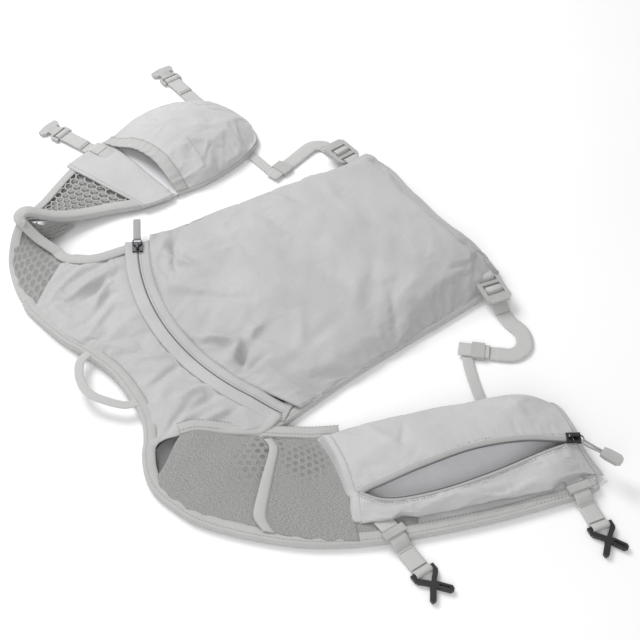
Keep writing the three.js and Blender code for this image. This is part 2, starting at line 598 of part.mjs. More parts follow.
// Four-armed centre hook: webbing bar between the upper arms, a long slot in one lower arm.
function crossHook() {
  const arm = (angle, length, width) => {
    const solid = slab([
      [-2, -width / 2], [length - 2, -width / 2], [length, -width / 2 + 2], [length, width / 2 - 2],
      [length - 2, width / 2], [-2, width / 2],
    ], HOOK_LOW, HOOK_LOW + HOOK_T);
    solid.rotateZ(radians(angle));
    return solid;
  };
  const bar = slab(rect(-BAR_BACK - 1.2, -BAR_BACK + 1.2, WEB_W / 2 + 2), HOOK_LOW, HOOK_LOW + HOOK_T);
  const cheekY = WEB_W / 2 + 0.4 + CHEEK_W / 2;
  const cheek = (side) => slab(
    rect(-BAR_BACK - 1.9, -BAR_BACK + 4.6, CHEEK_W / 2).map(([x, y]) => [x, y + side * cheekY]),
    HOOK_LOW, HOOK_LOW + HOOK_T,
  );
  const bend = BAR_BACK - 4;
  const bendAngle = 180 - THREE.MathUtils.radToDeg(Math.atan2(cheekY, bend));
  const upper = (side) => arm(side * bendAngle, Math.hypot(cheekY, bend) + 1, 4);
  const slot = slab(rect(4.5, ARM_L - 3.5, 1.1), HOOK_LOW - 1, HOOK_LOW + HOOK_T + 1);
  slot.rotateZ(radians(38));
  const body = unite(arm(38, ARM_L, 6), arm(-38, ARM_L, 5), upper(1), upper(-1), cheek(1), cheek(-1), bar);
  const shaped = subtract(body, slot);
  shaped.translate(BAR_BACK, 0, 0);
  return shaped;
}

// T-headed hook: webbing slot at the root, a narrow neck and a cross head.
function headHook() {
  const body = unite(
    slab([[-3, -11], [6, -11], [9, -6], [9, 6], [6, 11], [-3, 11]], HOOK_LOW, HOOK_LOW + HOOK_T),
    slab(rect(8, 18, 6), HOOK_LOW, HOOK_LOW + HOOK_T),
    slab([[14, -9], [17, -12.5], [22, -12], [24, 0], [22, 12], [17, 12.5], [14, 9]], HOOK_LOW, HOOK_LOW + HOOK_T),
  );
  const slot = slab(rect(1.4, 5.6, SLOT_W / 2), HOOK_LOW - 1, HOOK_LOW + HOOK_T + 1);
  const back = slab(rect(-4, -1.4, SLOT_W / 2), HOOK_LOW - 1, HOOK_LOW + HOOK_T + 1);
  return subtract(body, slot, back);
}

function sternumStrap(name, strap, hook, hookMaterial) {
  const angle = swing(strap);
  const low = strap.raised ? STEP_Z : WEB_LOW;
  const place = { at: [strap.from[0], strap.from[1], 0], turn: angle };
  add(`${name}_webbing`, sternumWebbing(reach(strap), strap.raised), webbingFabric, place);
  if (strap.raised && strap.clipped) add(`${name}_clip`, railClip(low), buckleGrey, place);
  else add(`${name}_fold`, webbingFold(low), webbingFabric, place);
  add(`${name}_hook`, hook, hookMaterial, { at: [strap.to[0], strap.to[1], 0], turn: angle });
}
for (const [level, strap] of Object.entries(LEFT_STRAPS)) {
  sternumStrap(`left_${level}`, strap, crossHook(), hookBlack);
}
for (const [level, strap] of Object.entries(RIGHT_STRAPS)) {
  sternumStrap(`right_${level}`, strap, headHook(), buckleGrey);
}

export default vest;
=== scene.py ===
import math

import bpy
import numpy as np
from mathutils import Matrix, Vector, noise


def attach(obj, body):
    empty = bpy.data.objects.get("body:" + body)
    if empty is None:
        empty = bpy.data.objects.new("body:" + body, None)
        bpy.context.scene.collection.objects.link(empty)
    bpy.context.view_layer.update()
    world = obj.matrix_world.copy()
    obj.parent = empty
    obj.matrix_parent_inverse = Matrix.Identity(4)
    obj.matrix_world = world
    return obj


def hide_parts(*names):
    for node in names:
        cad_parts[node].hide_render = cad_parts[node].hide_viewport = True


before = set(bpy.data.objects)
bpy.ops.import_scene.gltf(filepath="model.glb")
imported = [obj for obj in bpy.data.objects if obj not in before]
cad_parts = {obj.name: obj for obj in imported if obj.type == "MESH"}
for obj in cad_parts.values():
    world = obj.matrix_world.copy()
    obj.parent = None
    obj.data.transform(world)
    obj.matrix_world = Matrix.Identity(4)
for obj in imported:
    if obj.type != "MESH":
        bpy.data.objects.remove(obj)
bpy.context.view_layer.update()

# Lengths are millimetres in the frame of the CAD model until a mesh is made.
MM = 0.001
ROOT = "vest"
ZIP_R = 238.0
ZIP_C = np.array([0.0, -121.0])
PHONE_R = 400.0
PHONE_C = np.array([-625.0, 127.0])
PACK_BOTTOM = -178
YOKE_ANGLE = 30.2
WEB_WIDTH = 15
FLOOR_Z = -0.0004
RIGHT_LOWER_ROOT = (282.7, -79)
RIGHT_LOWER_TURN = 3.6


# ---------------------------------------------------------------- curves
def spline(points, n):
    """Smooth curve through control points, n points evenly spaced along it."""
    p = np.array([(*q, 0.0)[:3] if len(q) == 2 else q for q in points], float)
    ext = np.vstack([2 * p[0] - p[1], p, 2 * p[-1] - p[-2]])
    out = []
    spans = len(ext) - 3
    for i in range(spans):
        a, b, c, d = ext[i:i + 4]
        for t in np.linspace(0, 1, 24, endpoint=False):
            out.append(0.5 * ((2 * b) + (c - a) * t + (2 * a - 5 * b + 4 * c - d) * t * t
                + (3 * b - a - 3 * c + d) * t ** 3))
    out.append(ext[-2])
    return even(np.array(out), n)


def even(p, n):
    """A polyline resampled to n evenly spaced points."""
    d = np.r_[0, np.cumsum(np.linalg.norm(np.diff(p, axis=0), axis=1))]
    t = np.linspace(0, d[-1], n)
    return np.stack([np.interp(t, d, p[:, k]) for k in range(p.shape[1])], 1)


def coons(bottom, top, left, right):
    """Surface grid (rows from bottom to top, columns from left to right) through four edges."""
    n, m = len(bottom), len(left)
    u = np.linspace(0, 1, n)[None, :, None]
    v = np.linspace(0, 1, m)[:, None, None]
    lv, rv = left[:, None, :], right[:, None, :]
    bu, tu = bottom[None, :, :], top[None, :, :]
    corner = ((1 - u) * (1 - v) * bottom[0] + u * (1 - v) * bottom[-1] + (1 - u) * v * top[0] + u * v
        * top[-1])
    return (1 - u) * lv + u * rv + (1 - v) * bu + v * tu - corner


def across(curves, m):
    """Surface grid whose rows run smoothly from the first curve to the last one."""
    c = np.array(curves)
    out = np.zeros((m, c.shape[1], 3))
    for j in range(c.shape[1]):
        out[:, j] = spline(c[:, j], m)
    return out


def at(grid, u, v):
    """Point on a grid at column share u and row share v."""
    m, n = grid.shape[:2]
    x, y = np.clip(u, 0, 1) * (n - 1), np.clip(v, 0, 1) * (m - 1)
    i, j = min(int(y), m - 2), min(int(x), n - 2)
    fy, fx = y - i, x - j
    return ((1 - fy) * ((1 - fx) * grid[i, j] + fx * grid[i, j + 1]) + fy
        * ((1 - fx) * grid[i + 1, j] + fx * grid[i + 1, j + 1]))


def crease(x, y, a, b, width, height):
    """A soft ridge, or valley with a negative height, from a to b, fading at its ends."""
    a, b = np.array(a, float), np.array(b, float)
    d = b - a
    t = ((x - a[0]) * d[0] + (y - a[1]) * d[1]) / (d @ d)
    tc = np.clip(t, 0, 1)
    dist = np.hypot(x - a[0] - tc * d[0], y - a[1] - tc * d[1])
    return height * np.exp(-(dist / width) ** 2) * (0.35 + 0.65 * np.sin(np.pi * tc))


def wobble(x, y, scale, seed=0.0, stretch=(1.0, 1.0), turn=0.0):
    """Smooth noise over the plane, about -1 to 1, with features about scale mm wide."""
    c, s = math.cos(turn), math.sin(turn)
    a, b = (c * x + s * y) / scale / stretch[0], (-s * x + c * y) / scale / stretch[1]
    flat = [noise.noise(Vector((p, q, seed))) for p, q in zip(a.ravel(), b.ravel())]
    return np.array(flat).reshape(x.shape)


def keep_back(grid, origin, turn, back, half):
    """A grid pushed behind a line across the root of a hook strap, easing off to both sides."""
    c, s = math.cos(math.radians(turn)), math.sin(math.radians(turn))
    dx, dy = grid[..., 0] - origin[0], grid[..., 1] - origin[1]
    along, aside = dx * c + dy * s, np.abs(dy * c - dx * s)
    ease = np.clip((half + 14 - aside) / 14, 0, 1)
    push = np.clip(along + back, 0, 14) * ease * ease * (3 - 2 * ease)
    out = grid.copy()
    out[..., 0] -= push * c
    out[..., 1] -= push * s
    return out


# ---------------------------------------------------------------- meshes
def cells(m, n):
    """Four-sided faces between the points of a grid with m rows and n columns."""
    corners = [i * n + j for i in range(m - 1) for j in range(n - 1)]
    return [(k, k + 1, k + n + 1, k + n) for k in corners]


def hoops(count, sides, first=0):
    """Faces of a tube of count rings with the given number of sides, with its two caps."""
    faces = [(first + i * sides + j, first + i * sides + (j + 1) % sides,
        first + (i + 1) * sides + (j + 1) % sides, first + (i + 1) * sides + j) for i in range(count - 1)
        for j in range(sides)]
    last = first + (count - 1) * sides
    return faces + [tuple(first + j for j in range(sides))[::-1], tuple(last + j for j in range(sides))]


def new_mesh(name, verts, faces):
    """Mesh made from points in metres."""
    mesh = bpy.data.meshes.new(name)
    mesh.from_pydata(verts, [], faces)
    mesh.update()
    return mesh


def finish_object(name, mesh, material, body, replaces=()):
    obj = bpy.data.objects.new(name, mesh)
    bpy.context.scene.collection.objects.link(obj)
    mesh.materials.append(material)
    for poly in mesh.polygons:
        poly.use_smooth = True
    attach(obj, body)
    if replaces:
        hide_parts(*replaces)
    return obj


def surface(name, grid, material, body=ROOT, thick=1.2, replaces=(), uv=None):
    """Sheet of cloth over a grid of points; UV runs in metres along and across it."""
    m, n = grid.shape[:2]
    mesh = new_mesh(name, (grid.reshape(-1, 3) * MM).tolist(), cells(m, n))
    along = np.r_[0, np.cumsum(np.linalg.norm(np.diff(grid, axis=1), axis=2).mean(0))]
    over = np.r_[0, np.cumsum(np.linalg.norm(np.diff(grid, axis=0), axis=2).mean(1))]
    layer = mesh.uv_layers.new(name="UVMap")
    plane = uv == "plane"
    for poly in mesh.polygons:
        for li in poly.loop_indices:
            i, j = divmod(mesh.loops[li].vertex_index, n)
            if plane:
                layer.data[li].uv = (grid[i, j, 0] * MM, grid[i, j, 1] * MM)
            else:
                layer.data[li].uv = (along[j] * MM, over[i] * MM)
    normals = np.cross(grid[0, 1] - grid[0, 0], grid[1, 0] - grid[0, 0])
    obj = finish_object(name, mesh, material, body, replaces)
    if thick:
        mod = obj.modifiers.new("thickness", "SOLIDIFY")
        mod.thickness = thick * MM
        mod.offset = -1.0 if normals[2] > 0 else 1.0
    return obj


def frames(path, side=None):
    """Tangent, side and up at each point of a path; side is level unless it is given."""
    t = np.gradient(path, axis=0)
    t /= np.linalg.norm(t, axis=1)[:, None]
    if side is None:
        s = np.stack([-t[:, 1], t[:, 0], np.zeros(len(t))], 1)
    else:
        s = np.tile(np.array(side, float), (len(t), 1))
    s /= np.linalg.norm(s, axis=1)[:, None] + 1e-9
    up = np.cross(t, s)
    return t, s, up


def band(name, path, width, thick, material, body=ROOT, side=None, replaces=(), dome=0.0):
    """Flat webbing or tape along a path at its middle layer, with rounded edges."""
    _, s, up = frames(path, side)
    w, h = width / 2, thick / 2
    profile = [(-w + h, -h), (-w, -h * 0.3), (-w, h * 0.3), (-w + h, h), (-w * 0.5, h + dome * 0.75),
        (0, h + dome), (w * 0.5, h + dome * 0.75), (w - h, h), (w, h * 0.3), (w, -h * 0.3), (w - h, -h),
        (0, -h)]
    ring = np.array([[p + s[i] * a + up[i] * b for a, b in profile] for i, p in enumerate(path)])
    n, k = ring.shape[:2]
    mesh = new_mesh(name, (ring.reshape(-1, 3) * MM).tolist(), hoops(n, k))
    length = np.r_[0, np.cumsum(np.linalg.norm(np.diff(path, axis=0), axis=1))]
    layer = mesh.uv_layers.new(name="UVMap")
    for loop in mesh.loops:
        i, j = divmod(loop.vertex_index, k)
        layer.data[loop.index].uv = (length[i] * MM, profile[j][0] * MM)
    return finish_object(name, mesh, material, body, replaces)


def tube(name, path, radius, material, body=ROOT, sides=10, replaces=()):
    """Round cord or coil along a path."""
    _, s, up = frames(path)
    verts = []
    for i, p in enumerate(path):
        for j in range(sides):
            a = 2 * math.pi * j / sides
            verts.append(tuple((p + s[i] * radius * math.cos(a) + up[i] * radius * math.sin(a)) * MM))
    mesh = new_mesh(name, verts, hoops(len(path), sides))
    length = np.r_[0, np.cumsum(np.linalg.norm(np.diff(path, axis=0), axis=1))]
    layer = mesh.uv_layers.new(name="UVMap")
    for loop in mesh.loops:
        i, j = divmod(loop.vertex_index, sides)
        layer.data[loop.index].uv = (length[i] * MM, j / sides * radius * 6 * MM)
    return finish_object(name, mesh, material, body, replaces)


def stitches(name, lines, body=ROOT, pitch=3.0, length=2.0, radius=0.24):
    """Rows of short threads, each a small six-sided lozenge, joined in one piece."""
    verts, faces = [], []
    for line in lines:
        total = np.linalg.norm(np.diff(line, axis=0), axis=1).sum()
        pts = even(line, max(3, int(total / pitch)))
        t = np.gradient(pts, axis=0)
        t /= np.linalg.norm(t, axis=1)[:, None] + 1e-9
        s = np.stack([-t[:, 1], t[:, 0], np.zeros(len(t))], 1)
        for p, d, q in zip(pts, t, s):
            k = len(verts)
            up = np.array([0, 0, 1.0])
            for f, r in ((-0.5, 0.35), (-0.3, 1.0), (0.3, 1.0), (0.5, 0.35)):
                for a in (0, 60, 120, 180, 240, 300):
                    o = q * math.cos(math.radians(a)) + up * math.sin(math.radians(a))
                    verts.append(tuple((p + d * f * length + o * radius * r) * MM))
            faces += hoops(4, 6, k)
    return finish_object(name, new_mesh(name, verts, faces), THREAD, body)


def wrap(name, edge, inward, width, material, top=0.7, replaces=()):
    """Binding folded over an edge: edge is the outline at its top, inward a sign for the side direction.

    Returns its grid of points, whose first rows lie on top along the inner edge."""
    edge = np.array(edge)
    s = frames(edge)[1] * inward
    low = 0.4
    wave = 0.35 * np.sin(np.linspace(0, len(edge) * 0.55, len(edge)))
    rows = []
    for off, dz, absolute in ((width, 0.1, False), (width - 0.4, top * 0.7, False),
            (width * 0.6, top, False), (width * 0.25, top, False), (0.5, top * 0.8, False),
            (-0.4, top * 0.3, False), (-0.8, -0.9, False), (-0.8, None, True), (-0.2, low, True),
            (2.0, low, True)):
        row = edge + s * off
        if absolute:
            row[:, 2] = np.minimum(edge[:, 2] - 1.0, edge[:, 2] * 0.45 if dz is None
                else np.maximum(low, edge[:, 2] - 7))
        else:
            row[:, 2] = edge[:, 2] + dz + (wave * 0.5 if 1 < off < width - 1 else 0)
        rows.append(row)
    grid = np.array(rows)
    surface(name, grid, material, ROOT, 0.6, replaces)
    return grid


# ---------------------------------------------------------------- materials
class Nodes:
    """Small helper that builds a node tree from expressions."""

    def __init__(self, name):
        self.mat = bpy.data.materials.new(name)
        self.mat.use_nodes = True
        self.tree = self.mat.node_tree
        self.bsdf = next(n for n in self.tree.nodes if n.type == "BSDF_PRINCIPLED")
        coords = self.tree.nodes.new("ShaderNodeTexCoord")
        self.uv, self.obj = coords.outputs["UV"], coords.outputs["Object"]

    def put(self, socket, value):
        if isinstance(value, bpy.types.NodeSocket):
            self.tree.links.new(value, socket)
        else:
            socket.default_value = value

    def math(self, kind, a, b=0.0, c=0.0):
        node = self.tree.nodes.new("ShaderNodeMath")
        node.operation = kind
        for socket, value in zip(node.inputs, (a, b, c)):
            self.put(socket, value)
        return node.outputs[0]

    def xyz(self, vector):
        node = self.tree.nodes.new("ShaderNodeSeparateXYZ")
        self.put(node.inputs[0], vector)
        return node.outputs

    def noise(self, vector, scale, detail=3.0, rough=0.5, stretch=(1, 1, 1)):
        mapping = self.tree.nodes.new("ShaderNodeMapping")
        mapping.inputs["Scale"].default_value = stretch
        self.put(mapping.inputs["Vector"], vector)
        node = self.tree.nodes.new("ShaderNodeTexNoise")
        node.inputs["Scale"].default_value = scale
        node.inputs["Detail"].default_value = detail
        node.inputs["Roughness"].default_value = rough
        self.put(node.inputs["Vector"], mapping.outputs[0])
        return node.outputs["Fac"]

    def ramp(self, value, low, high, a=0.0, b=1.0):
        node = self.tree.nodes.new("ShaderNodeMapRange")
        node.interpolation_type = "SMOOTHSTEP"
        for key, v in (("Value", value), ("From Min", low), ("From Max", high), ("To Min", a),
                ("To Max", b)):
            self.put(node.inputs[key], v)
        return node.outputs[0]

    def mix(self, factor, a, b):
        node = self.tree.nodes.new("ShaderNodeMix")
        node.data_type = "RGBA"
        self.put(node.inputs[0], factor)
        for socket, value in ((node.inputs[6], a), (node.inputs[7], b)):
            self.put(socket, (*value, 1.0) if isinstance(value, tuple) and len(value) == 3 else value)
        return node.outputs[2]

    def bump(self, height, distance, strength=1.0, normal=None):
        node = self.tree.nodes.new("ShaderNodeBump")
        node.inputs["Strength"].default_value = strength
        node.inputs["Distance"].default_value = distance
        self.put(node.inputs["Height"], height)
        if normal is not None:
            self.put(node.inputs["Normal"], normal)
        return node.outputs[0]

    def sine(self, coordinate, pitch):
        return self.math("SINE", self.math("MULTIPLY", coordinate, 2 * math.pi / pitch))


def lin(value):
    """Linear value of an sRGB grey or colour from 0 to 255."""
    def one(v):
        v /= 255
        return v / 12.92 if v <= 0.04045 else ((v + 0.055) / 1.055) ** 2.4
    return tuple(one(v) for v in value) if isinstance(value, tuple) else (one(value),) * 3


def shade(color, k):
    return tuple(c * k for c in color)


def tone(value):
    """Cloth colour that renders at about the given sRGB grey under the studio light."""
    return shade(lin(value), 0.78)


def woven(name, color, weave=0.0006, strength=0.35, rough=0.8, ripstop=0.0, twill=False, blotch=0.06,
        wrinkle=0.25):
    """Closely woven cloth: fine weave, faint ripstop grid, colour drift and small wrinkles."""
    n = Nodes(name)
    u, v, _ = n.xyz(n.uv)
    if twill:
        diagonal = n.math("ADD", u, n.math("ABSOLUTE", v))
        cloth = n.math("MULTIPLY_ADD", n.sine(diagonal, weave * 2.2), 0.5, 0.5)
    else:
        cloth = n.math("MULTIPLY_ADD", n.math("MULTIPLY", n.sine(u, weave), n.sine(v, weave)), 0.5, 0.5)
    drift = n.noise(n.obj, 22.0, 4.0, 0.55)
    speck = n.noise(n.obj, 900.0, 2.0, 0.6)
    base = n.mix(n.ramp(drift, 0.3, 0.7), shade(color, 1 - blotch), shade(color, 1 + blotch * 0.6))
    base = n.mix(n.ramp(speck, 0.35, 0.75, 0.0, 0.16), base, shade(color, 0.72))
    height = cloth
    if ripstop:
        across_u, across_v = [n.ramp(n.math("ABSOLUTE",
            n.math("SUBTRACT", n.math("FRACT", n.math("DIVIDE", w, ripstop)), 0.5)), 0.44, 0.5)
            for w in (u, v)]
        lines = n.math("MAXIMUM", across_u, across_v)
        base = n.mix(n.math("MULTIPLY", lines, 0.10), base, shade(color, 0.7))
        height = n.math("ADD", cloth, n.math("MULTIPLY", lines, 0.8))
    fold = n.noise(n.obj, 70.0, 3.0, 0.45, stretch=(1.0, 2.2, 1.0))
    normal = n.bump(fold, 0.0022, wrinkle)
    normal = n.bump(height, 0.00012, strength, normal)
    n.put(n.bsdf.inputs["Base Color"], base)
    n.put(n.bsdf.inputs["Roughness"], n.ramp(speck, 0.2, 0.8, rough - 0.08, rough + 0.08))
    n.put(n.bsdf.inputs["Normal"], normal)
    n.bsdf.inputs["Sheen Weight"].default_value = 0.25
    n.bsdf.inputs["Sheen Roughness"].default_value = 0.5
    n.bsdf.inputs["Specular IOR Level"].default_value = 0.3
    return n.mat


def perforated(name, color, pitch, hole, depth=0.55, melange=0.25, cover=0.35, spots=()):
    """Spacer mesh with a hexagonal set of round holes under a sheer melange knit."""
    n = Nodes(name)
    u, v, _ = n.xyz(n.uv)
    row = pitch * math.sqrt(3)

    def cell(du, dv):
        a = n.math("SUBTRACT", n.math("FRACT", n.math("ADD", n.math("DIVIDE", u, pitch), du)), 0.5)
        b = n.math("SUBTRACT", n.math("FRACT", n.math("ADD", n.math("DIVIDE", v, row), dv)), 0.5)
        a, b = n.math("MULTIPLY", a, pitch), n.math("MULTIPLY", b, row)
        return n.math("SQRT", n.math("ADD", n.math("MULTIPLY", a, a), n.math("MULTIPLY", b, b)))

    near = n.math("MINIMUM", cell(0.0, 0.0), cell(0.5, 0.5))
    open_ = n.ramp(near, hole * 0.42, hole * 0.58, 1.0, 0.0)
    patchy = n.ramp(n.noise(n.obj, 26.0, 3.0, 0.5), 0.35, 0.68, cover, 1.0)
    x, y, _ = n.xyz(n.obj)
    for cx, cy, r in spots:
        a, b = n.math("SUBTRACT", x, cx), n.math("SUBTRACT", y, cy)
        away = n.math("SQRT", n.math("ADD", n.math("MULTIPLY", a, a), n.math("MULTIPLY", b, b)))
        patchy = n.math("MAXIMUM", n.math("MULTIPLY", patchy, 0.6 if spots else 1.0),
            n.ramp(away, r * 0.4, r * 1.1, 1.7, 0.0))
    open_ = n.math("MULTIPLY", open_, patchy)
    threads = n.noise(n.uv, 1500.0, 2.0, 0.7, stretch=(1.0, 0.45, 1.0))
    fine = n.math("MULTIPLY_ADD", n.math("MULTIPLY", n.sine(u, 0.0011), n.sine(v, 0.0013)), 0.5, 0.5)
    base = n.mix(n.ramp(threads, 0.3, 0.7), shade(color, 1 - melange), shade(color, 1 + melange))
    base = n.mix(n.math("MULTIPLY", fine, 0.22), base, shade(color, 0.55))
    base = n.mix(n.math("MULTIPLY", open_, depth), base, shade(color, 0.38))
    normal = n.bump(n.math("SUBTRACT", 1.0, open_), 0.0009, 0.55)
    normal = n.bump(n.math("ADD", threads, fine), 0.00025, 0.6, normal)
    n.put(n.bsdf.inputs["Base Color"], base)
    n.put(n.bsdf.inputs["Normal"], normal)
    n.bsdf.inputs["Roughness"].default_value = 0.85
    n.bsdf.inputs["Sheen Weight"].default_value = 0.2
    n.bsdf.inputs["Specular IOR Level"].default_value = 0.25
    return n.mat


def webbing(name, color, pitch=0.0013):
    """Woven narrow webbing with ribs across it and firmer edges."""
    n = Nodes(name)
    u, v, _ = n.xyz(n.uv)
    zigzag = n.math("ADD", u, n.math("MULTIPLY", n.math("PINGPONG", v, 0.0016), 0.5))
    ribs = n.math("MULTIPLY_ADD", n.sine(zigzag, pitch), 0.5, 0.5)
    cords = n.math("MULTIPLY_ADD", n.sine(v, 0.0016), 0.5, 0.5)
    speck = n.noise(n.obj, 1100.0, 2.0, 0.6)
    base = n.mix(n.math("MULTIPLY", ribs, 0.35), color, shade(color, 0.78))
    base = n.mix(n.ramp(speck, 0.4, 0.8, 0.0, 0.22), base, shade(color, 0.7))
    base = n.mix(n.ramp(n.noise(n.obj, 40.0), 0.35, 0.7, 0.0, 0.12), base, shade(color, 0.82))
    normal = n.bump(n.math("ADD", ribs, n.math("MULTIPLY", cords, 0.6)), 0.0003, 0.55)
    n.put(n.bsdf.inputs["Base Color"], base)
    n.put(n.bsdf.inputs["Normal"], normal)
    n.bsdf.inputs["Roughness"].default_value = 0.75
    n.bsdf.inputs["Sheen Weight"].default_value = 0.25
    n.bsdf.inputs["Specular IOR Level"].default_value = 0.3
    return n.mat


def moulded(name, color, rough=0.42, edge_lighten=0.15):
    """Moulded plastic: fine grain, colour a little lighter along sharp edges."""
    n = Nodes(name)
    grain = n.noise(n.obj, 1400.0, 3.0, 0.6)
    drift = n.noise(n.obj, 90.0, 3.0, 0.5)
    geometry = n.tree.nodes.new("ShaderNodeNewGeometry")
    edge = n.ramp(geometry.outputs["Pointiness"], 0.52, 0.62)
    base = n.mix(n.ramp(drift, 0.3, 0.7), shade(color, 0.92), shade(color, 1.05))
    # colour made lighter along sharp convex edges, found by pointiness
    base = n.mix(n.math("MULTIPLY", edge, edge_lighten), base, shade(color, 1.6))
    n.put(n.bsdf.inputs["Base Color"], base)
    n.put(n.bsdf.inputs["Roughness"], n.ramp(grain, 0.2, 0.8, rough - 0.06, rough + 0.1))
    n.put(n.bsdf.inputs["Normal"], n.bump(grain, 0.00012, 0.35))
    return n.mat


def metal(name, color, rough=0.3):
    n = Nodes(name)
    scratch = n.noise(n.obj, 600.0, 4.0, 0.6, stretch=(1.0, 6.0, 1.0))
    n.put(n.bsdf.inputs["Base Color"], n.mix(n.ramp(scratch, 0.3, 0.7), shade(color, 0.8),
        shade(color, 1.25)))
    n.put(n.bsdf.inputs["Roughness"], n.ramp(scratch, 0.2, 0.8, rough - 0.08, rough + 0.14))
    n.put(n.bsdf.inputs["Normal"], n.bump(scratch, 0.00008, 0.3))
    n.bsdf.inputs["Metallic"].default_value = 1.0
    return n.mat


SHELL = woven("shell_cloth", tone((203, 203, 203)), 0.0007, 0.3, 0.72, ripstop=0.0045, wrinkle=0.22)
YOKE = woven("yoke_cloth", tone((206, 206, 206)), 0.0007, 0.3, 0.76, wrinkle=0.25)
POCKET = woven("pocket_cloth", tone((214, 214, 214)), 0.0007, 0.3, 0.74, wrinkle=0.22)
LINING = woven("pale_lining", tone((252, 252, 254)), 0.0009, 0.3, 0.85, wrinkle=0.15)
BINDING = woven("binding_knit", tone((203, 203, 202)), 0.0009, 0.6, 0.82, twill=True, blotch=0.04,
    wrinkle=0.12)
TAPE = woven("zip_tape_twill", tone((196, 196, 195)), 0.0008, 0.7, 0.8, twill=True, blotch=0.04,
    wrinkle=0.08)
THREAD = woven("thread", tone((176, 176, 175)), 0.0005, 0.3, 0.7, blotch=0.03, wrinkle=0.0)
WEB = webbing("grey_webbing", tone((217, 217, 216)))
KNIT = perforated("strap_spacer_mesh", tone((172, 173, 171)), 0.0074, 0.0042, 0.40, 0.3, cover=0.05,
    spots=((-0.152, 0.128, 0.024), (-0.176, 0.096, 0.024), (-0.146, 0.112, 0.018)))
KNIT_FAR = perforated("shoulder_spacer_mesh", tone((180, 181, 179)), 0.0070, 0.0048, 0.40, 0.14, cover=0.7)
SHADE = woven("fold_shadow_knit", tone((126, 126, 126)), 0.0009, 0.4, 0.9)
BACKING = woven("net_backing", tone((184, 185, 183)), 0.0009, 0.4, 0.85)
NET = woven("open_net_yarn", tone((196, 197, 195)), 0.0006, 0.5, 0.8, wrinkle=0.1)
COIL = moulded("zip_coil_nylon", lin((98, 98, 100)), 0.5)
PLASTIC = moulded("grey_acetal", tone((188, 188, 187)), 0.42)
BLACK = moulded("black_acetal", lin((38, 38, 39)), 0.38, 0.12)
GUN = metal("gunmetal_plate", lin((78, 78, 81)), 0.36)
CORD = webbing("braided_cord", tone((185, 185, 183)), 0.0009)


# ---------------------------------------------------------------- cloth settling
SETTLE_FRAMES = 16


def settle(grid, cap, grow, pressure, weight=None):
    """Cloth simulation of a sewn panel held along its seams: spare cloth inside them forms the folds.

    No point moves further than cap, in millimetres."""
    m, n = grid.shape[:2]
    mesh = new_mesh("settling", (grid.reshape(-1, 3) * MM).tolist(), cells(m, n))
    obj = bpy.data.objects.new("settling", mesh)
    bpy.context.scene.collection.objects.link(obj)
    pins = obj.vertex_groups.new(name="seams")
    held = [i * n + j for i in range(m) for j in range(n) if i in (0, m - 1) or j in (0, n - 1)]
    pins.add(held, 1.0, "REPLACE")
    mod = obj.modifiers.new("cloth", "CLOTH")
    cloth = mod.settings
    cloth.quality = 7
    cloth.mass = 0.15
    cloth.tension_stiffness = cloth.compression_stiffness = 30
    cloth.shear_stiffness = 12
    cloth.bending_stiffness = 0.05
    cloth.tension_damping = cloth.compression_damping = 12
    cloth.air_damping = 4
    cloth.vertex_group_mass = "seams"
    cloth.shrink_min = cloth.shrink_max = -grow
    cloth.use_pressure = True
    cloth.uniform_pressure_force = pressure
    cloth.effector_weights.gravity = 0
    mod.collision_settings.use_collision = False
    mod.point_cache.frame_start = 1
    mod.point_cache.frame_end = SETTLE_FRAMES
    scene = bpy.context.scene
    for f in range(1, SETTLE_FRAMES + 1):
        scene.frame_set(f)
    evaluated = obj.evaluated_get(bpy.context.evaluated_depsgraph_get())
    settled = evaluated.to_mesh()
    co = np.empty(m * n * 3)
    settled.vertices.foreach_get("co", co)
    evaluated.to_mesh_clear()
    bpy.data.objects.remove(obj)
    bpy.data.meshes.remove(mesh)
    scene.frame_set(1)
    move = co.reshape(m, n, 3) / MM - grid
    size = np.linalg.norm(move, axis=2)[:, :, None] + 1e-6
    move *= cap * np.tanh(size / cap) / size
    if weight is not None:
        move *= weight[:, :, None]
    return grid + move


# ---------------------------------------------------------------- pack
def zip_arc(radius, angle0, angle1, n, z=12.6):
    a = np.radians(90 - np.linspace(angle0, angle1, n))
    return np.stack([ZIP_C[0] + radius * np.cos(a), ZIP_C[1] + radius * np.sin(a), np.full(n, z)], 1)


def near_drop(angle):
    """The zip runs down to the side seam at its near end."""
    t = np.clip((-angle - 23.0) / 8.0, 0, 1)
    return 5.2 * t * t * (3 - 2 * t)


PACK_SIDE = [(0.0, 92), (0.05, 103), (0.25, 110), (0.48, 116), (0.74, 122), (1.0, 126)]
PACK_NEAR = [(0.0, 98), (0.05, 109), (0.25, 113), (0.48, 118), (0.74, 123), (1.0, 127)]


